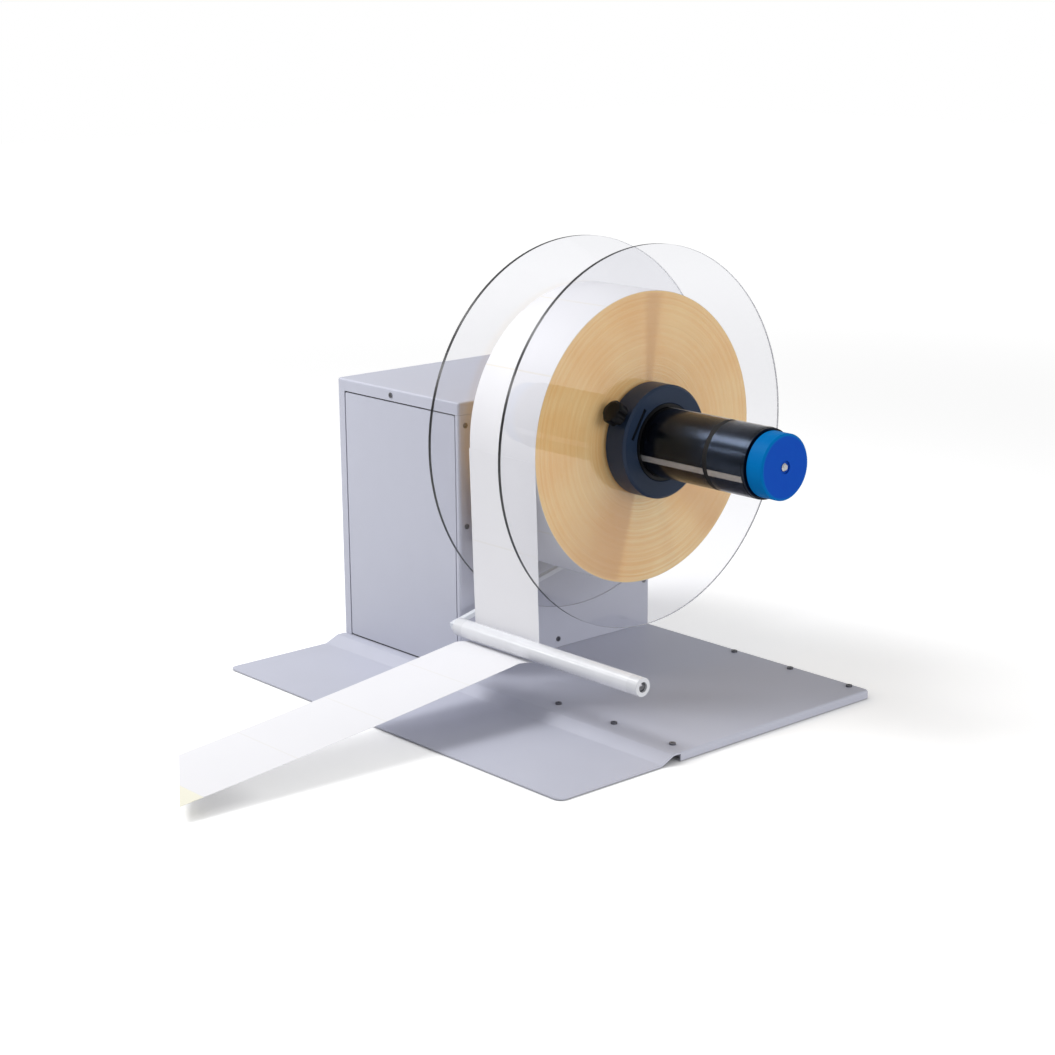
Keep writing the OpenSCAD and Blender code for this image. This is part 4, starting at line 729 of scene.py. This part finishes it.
# The roller arm: an aluminium bar on a shaft that turns in a housing behind
# the front panel, with a torsion spring and an angle sensor. The roller is a
# white tube with moulded ends on a steel axle.
pivot_axis, roller_axis = (0.015, 0.121), (-0.16553, 0.07406)
arm_alloy = powder_coat("arm_white_coat", (0.76, 0.79, 0.84, 1), 0.34)
housing_alloy = machined("pivot_housing_aluminium", (0.66, 0.67, 0.7, 1), 0.34, pivot_axis)
pivot_steel = machined("pivot_steel", (0.6, 0.6, 0.62, 1), 0.24, pivot_axis)
sensor_shell = satin_plastic("sensor_plastic", (0.03, 0.032, 0.036, 1), 0.45)
white_colour = (0.69, 0.7, 0.735, 1)
white_shell = satin_plastic("white_roller_plastic", white_colour, 0.24)
cap_shell = satin_plastic("roller_cap_bore_shade_plastic", white_colour, 0.24)
# inside the bore the white cap is painted near black: painted shade in the recess
out_of_bore_shade = cap_shell.from_axis(cap_shell.place(), roller_axis).ramp(0.0052, 0.0055)
cap_shell.feed(Base_Color=cap_shell.mix((0.012, 0.012, 0.014, 1), white_colour, out_of_bore_shade))
wear(arm_alloy, "dancer_arm")
wear(housing_alloy, "dancer_housing")
wear(pivot_steel, "dancer_shaft", "return_spring", "roller_axle")
wear(sensor_shell, "position_sensor")
wear(white_shell, "roller_tube")
wear(cap_shell, "roller_ends")


# The label web: it leaves the roll's left side, hangs straight down to the
# roller, goes round under it and runs off to the left over the tongue to the
# printer. It is cut where the picture ends.
web_thick, web_near, web_far = 0.0004, -0.142, -0.037
leave, meet = Vector((-0.16045, 0, 0.2764)), Vector((-0.15503, 0, 0.07432))
web_wrap = math.radians(83.7)
drop_gaps = (0.1746,)
run_gaps = (-0.252, -0.3613, -0.4706, -0.58)
drop_face = label_face("label_face_drop", drop_gaps, ())
run_face = label_face("label_face_run", (), run_gaps, run_gaps[-1])
web_centre = (web_near + web_far) / 2
web_middle = Vector((0, web_centre, 0))


def edge_selected(sheet, test):
    """Selects only the edges of the sheet whose two ends pass the test."""
    bpy.ops.object.mode_set(mode="EDIT")
    bpy.ops.mesh.select_mode(type="EDGE")
    bpy.ops.mesh.select_all(action="DESELECT")
    bpy.ops.object.mode_set(mode="OBJECT")
    for edge in sheet.data.edges:
        edge.select = all(test(sheet.data.vertices[v].co) for v in edge.vertices)
    bpy.ops.object.mode_set(mode="EDIT")


def thickened(sheet, thick):
    """Gives a flat sheet its thickness, half to each side."""
    nothing_selected()
    sheet.select_set(True)
    bpy.context.view_layer.objects.active = sheet
    wall = sheet.modifiers.new("paper_thickness", "SOLIDIFY")
    wall.thickness = thick
    wall.offset = 0
    bpy.ops.object.modifier_apply(modifier="paper_thickness")
    bpy.ops.object.shade_smooth_by_angle(angle=math.radians(30))


fall = meet - leave
nothing_selected()
bpy.ops.mesh.primitive_plane_add(size=1, location=(leave + meet) / 2 + web_middle,
                                 rotation=(0, math.atan2(-fall.z, fall.x), 0))
web_drop = bpy.context.object
web_drop.name = "label_web_falling"
web_drop.scale = (fall.length, web_far - web_near, 1)
bpy.ops.object.transform_apply(location=True, rotation=True, scale=True)
bpy.ops.object.mode_set(mode="EDIT")
bpy.ops.mesh.select_all(action="SELECT")
bpy.ops.mesh.subdivide(number_cuts=23)
edge_selected(web_drop, lambda p: p.z < meet.z + 0.0005)
bpy.ops.mesh.spin(steps=18, angle=-web_wrap, center=(roller_axis[0], 0, roller_axis[1]), axis=(0, 1, 0))
bpy.ops.mesh.select_all(action="SELECT")
bpy.ops.mesh.remove_doubles(threshold=0.00002)
bpy.ops.mesh.normals_make_consistent(inside=False)
thickened(web_drop, web_thick)
web_drop.data.materials.append(drop_face.material)
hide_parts("label_web_drop")
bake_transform(web_drop)

# the run falls from the roller at 7.7 degrees and levels out by 20 mm over 443 mm
run_start = (-0.16412, 0.06365)
run_fall, run_rise, run_span = math.tan(math.radians(7.7)), 0.02, 0.443
run_reach, run_steps = 0.46, 24
run_points = []
for k in range(run_steps + 1):
    run = run_reach * k / run_steps
    height = run_start[1] - run_fall * run + run_rise * run * run / run_span
    run_points.append((run_start[0] - run, height))
nothing_selected()
(x0, z0), (x1, z1) = run_points[:2]
bpy.ops.mesh.primitive_plane_add(size=1, location=((x0 + x1) / 2, web_centre, (z0 + z1) / 2),
                                 rotation=(0, -math.atan2(z1 - z0, x0 - x1) + math.pi, 0))
web_run = bpy.context.object
web_run.name = "label_web_running"
web_run.scale = (math.hypot(x1 - x0, z1 - z0), web_far - web_near, 1)
bpy.ops.object.transform_apply(location=True, rotation=True, scale=True)
edge_selected(web_run, lambda p: p.x < x1 + 0.0005)
for (xa, za), (xb, zb) in zip(run_points[1:], run_points[2:]):
    bpy.ops.mesh.extrude_region_move(TRANSFORM_OT_translate={"value": (xb - xa, 0, zb - za)})
near_length, far_length = 0.442, 0.376
near_end = Vector((run_start[0] - near_length, web_near, 0))
far_end = Vector((run_start[0] - far_length, web_far, 0))
across = (far_end - near_end).cross(Vector((0, 0, 1))).normalized()
if across.x > 0:
    across = -across
bpy.ops.mesh.select_all(action="SELECT")
bpy.ops.mesh.bisect(plane_co=near_end, plane_no=across, clear_outer=True)
bpy.ops.mesh.select_all(action="SELECT")
bpy.ops.mesh.normals_make_consistent(inside=False)
thickened(web_run, web_thick)
web_run.data.materials.append(run_face.material)
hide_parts("label_web_run")
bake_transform(web_run)


# Power and control in the cabinet: a moulded inlet with a rocker switch in
# the rear wall, a sheet-metal supply and a green control board.
def solder_mask(name):
    """Green lacquer over copper tracks."""
    board = Finish(name, Specular_IOR_Level=0.5)
    point = board.place()
    square_cells = {"distance": "MANHATTAN"}
    cells = board.add("TexVoronoi", square_cells, {"Vector": point, "Scale": 180.0}, out="Distance")
    tracks = cells.ramp(0.28, 0.34)
    board.feed(Base_Color=board.mix((0.015, 0.12, 0.05, 1), (0.03, 0.2, 0.085, 1), tracks))
    board.feed(Roughness=0.3 + tracks * 0.12)
    board.relief(tracks, 0.00004, 0.6)
    return board


supply_steel = plated_steel("supply_case_steel", (0.55, 0.56, 0.58, 1), 0.42)
board_green = solder_mask("solder_mask_green")
wear(black_shell, "power_inlet", "rocker_switch")
wear(supply_steel, "power_supply")
wear(board_green, "control_board")
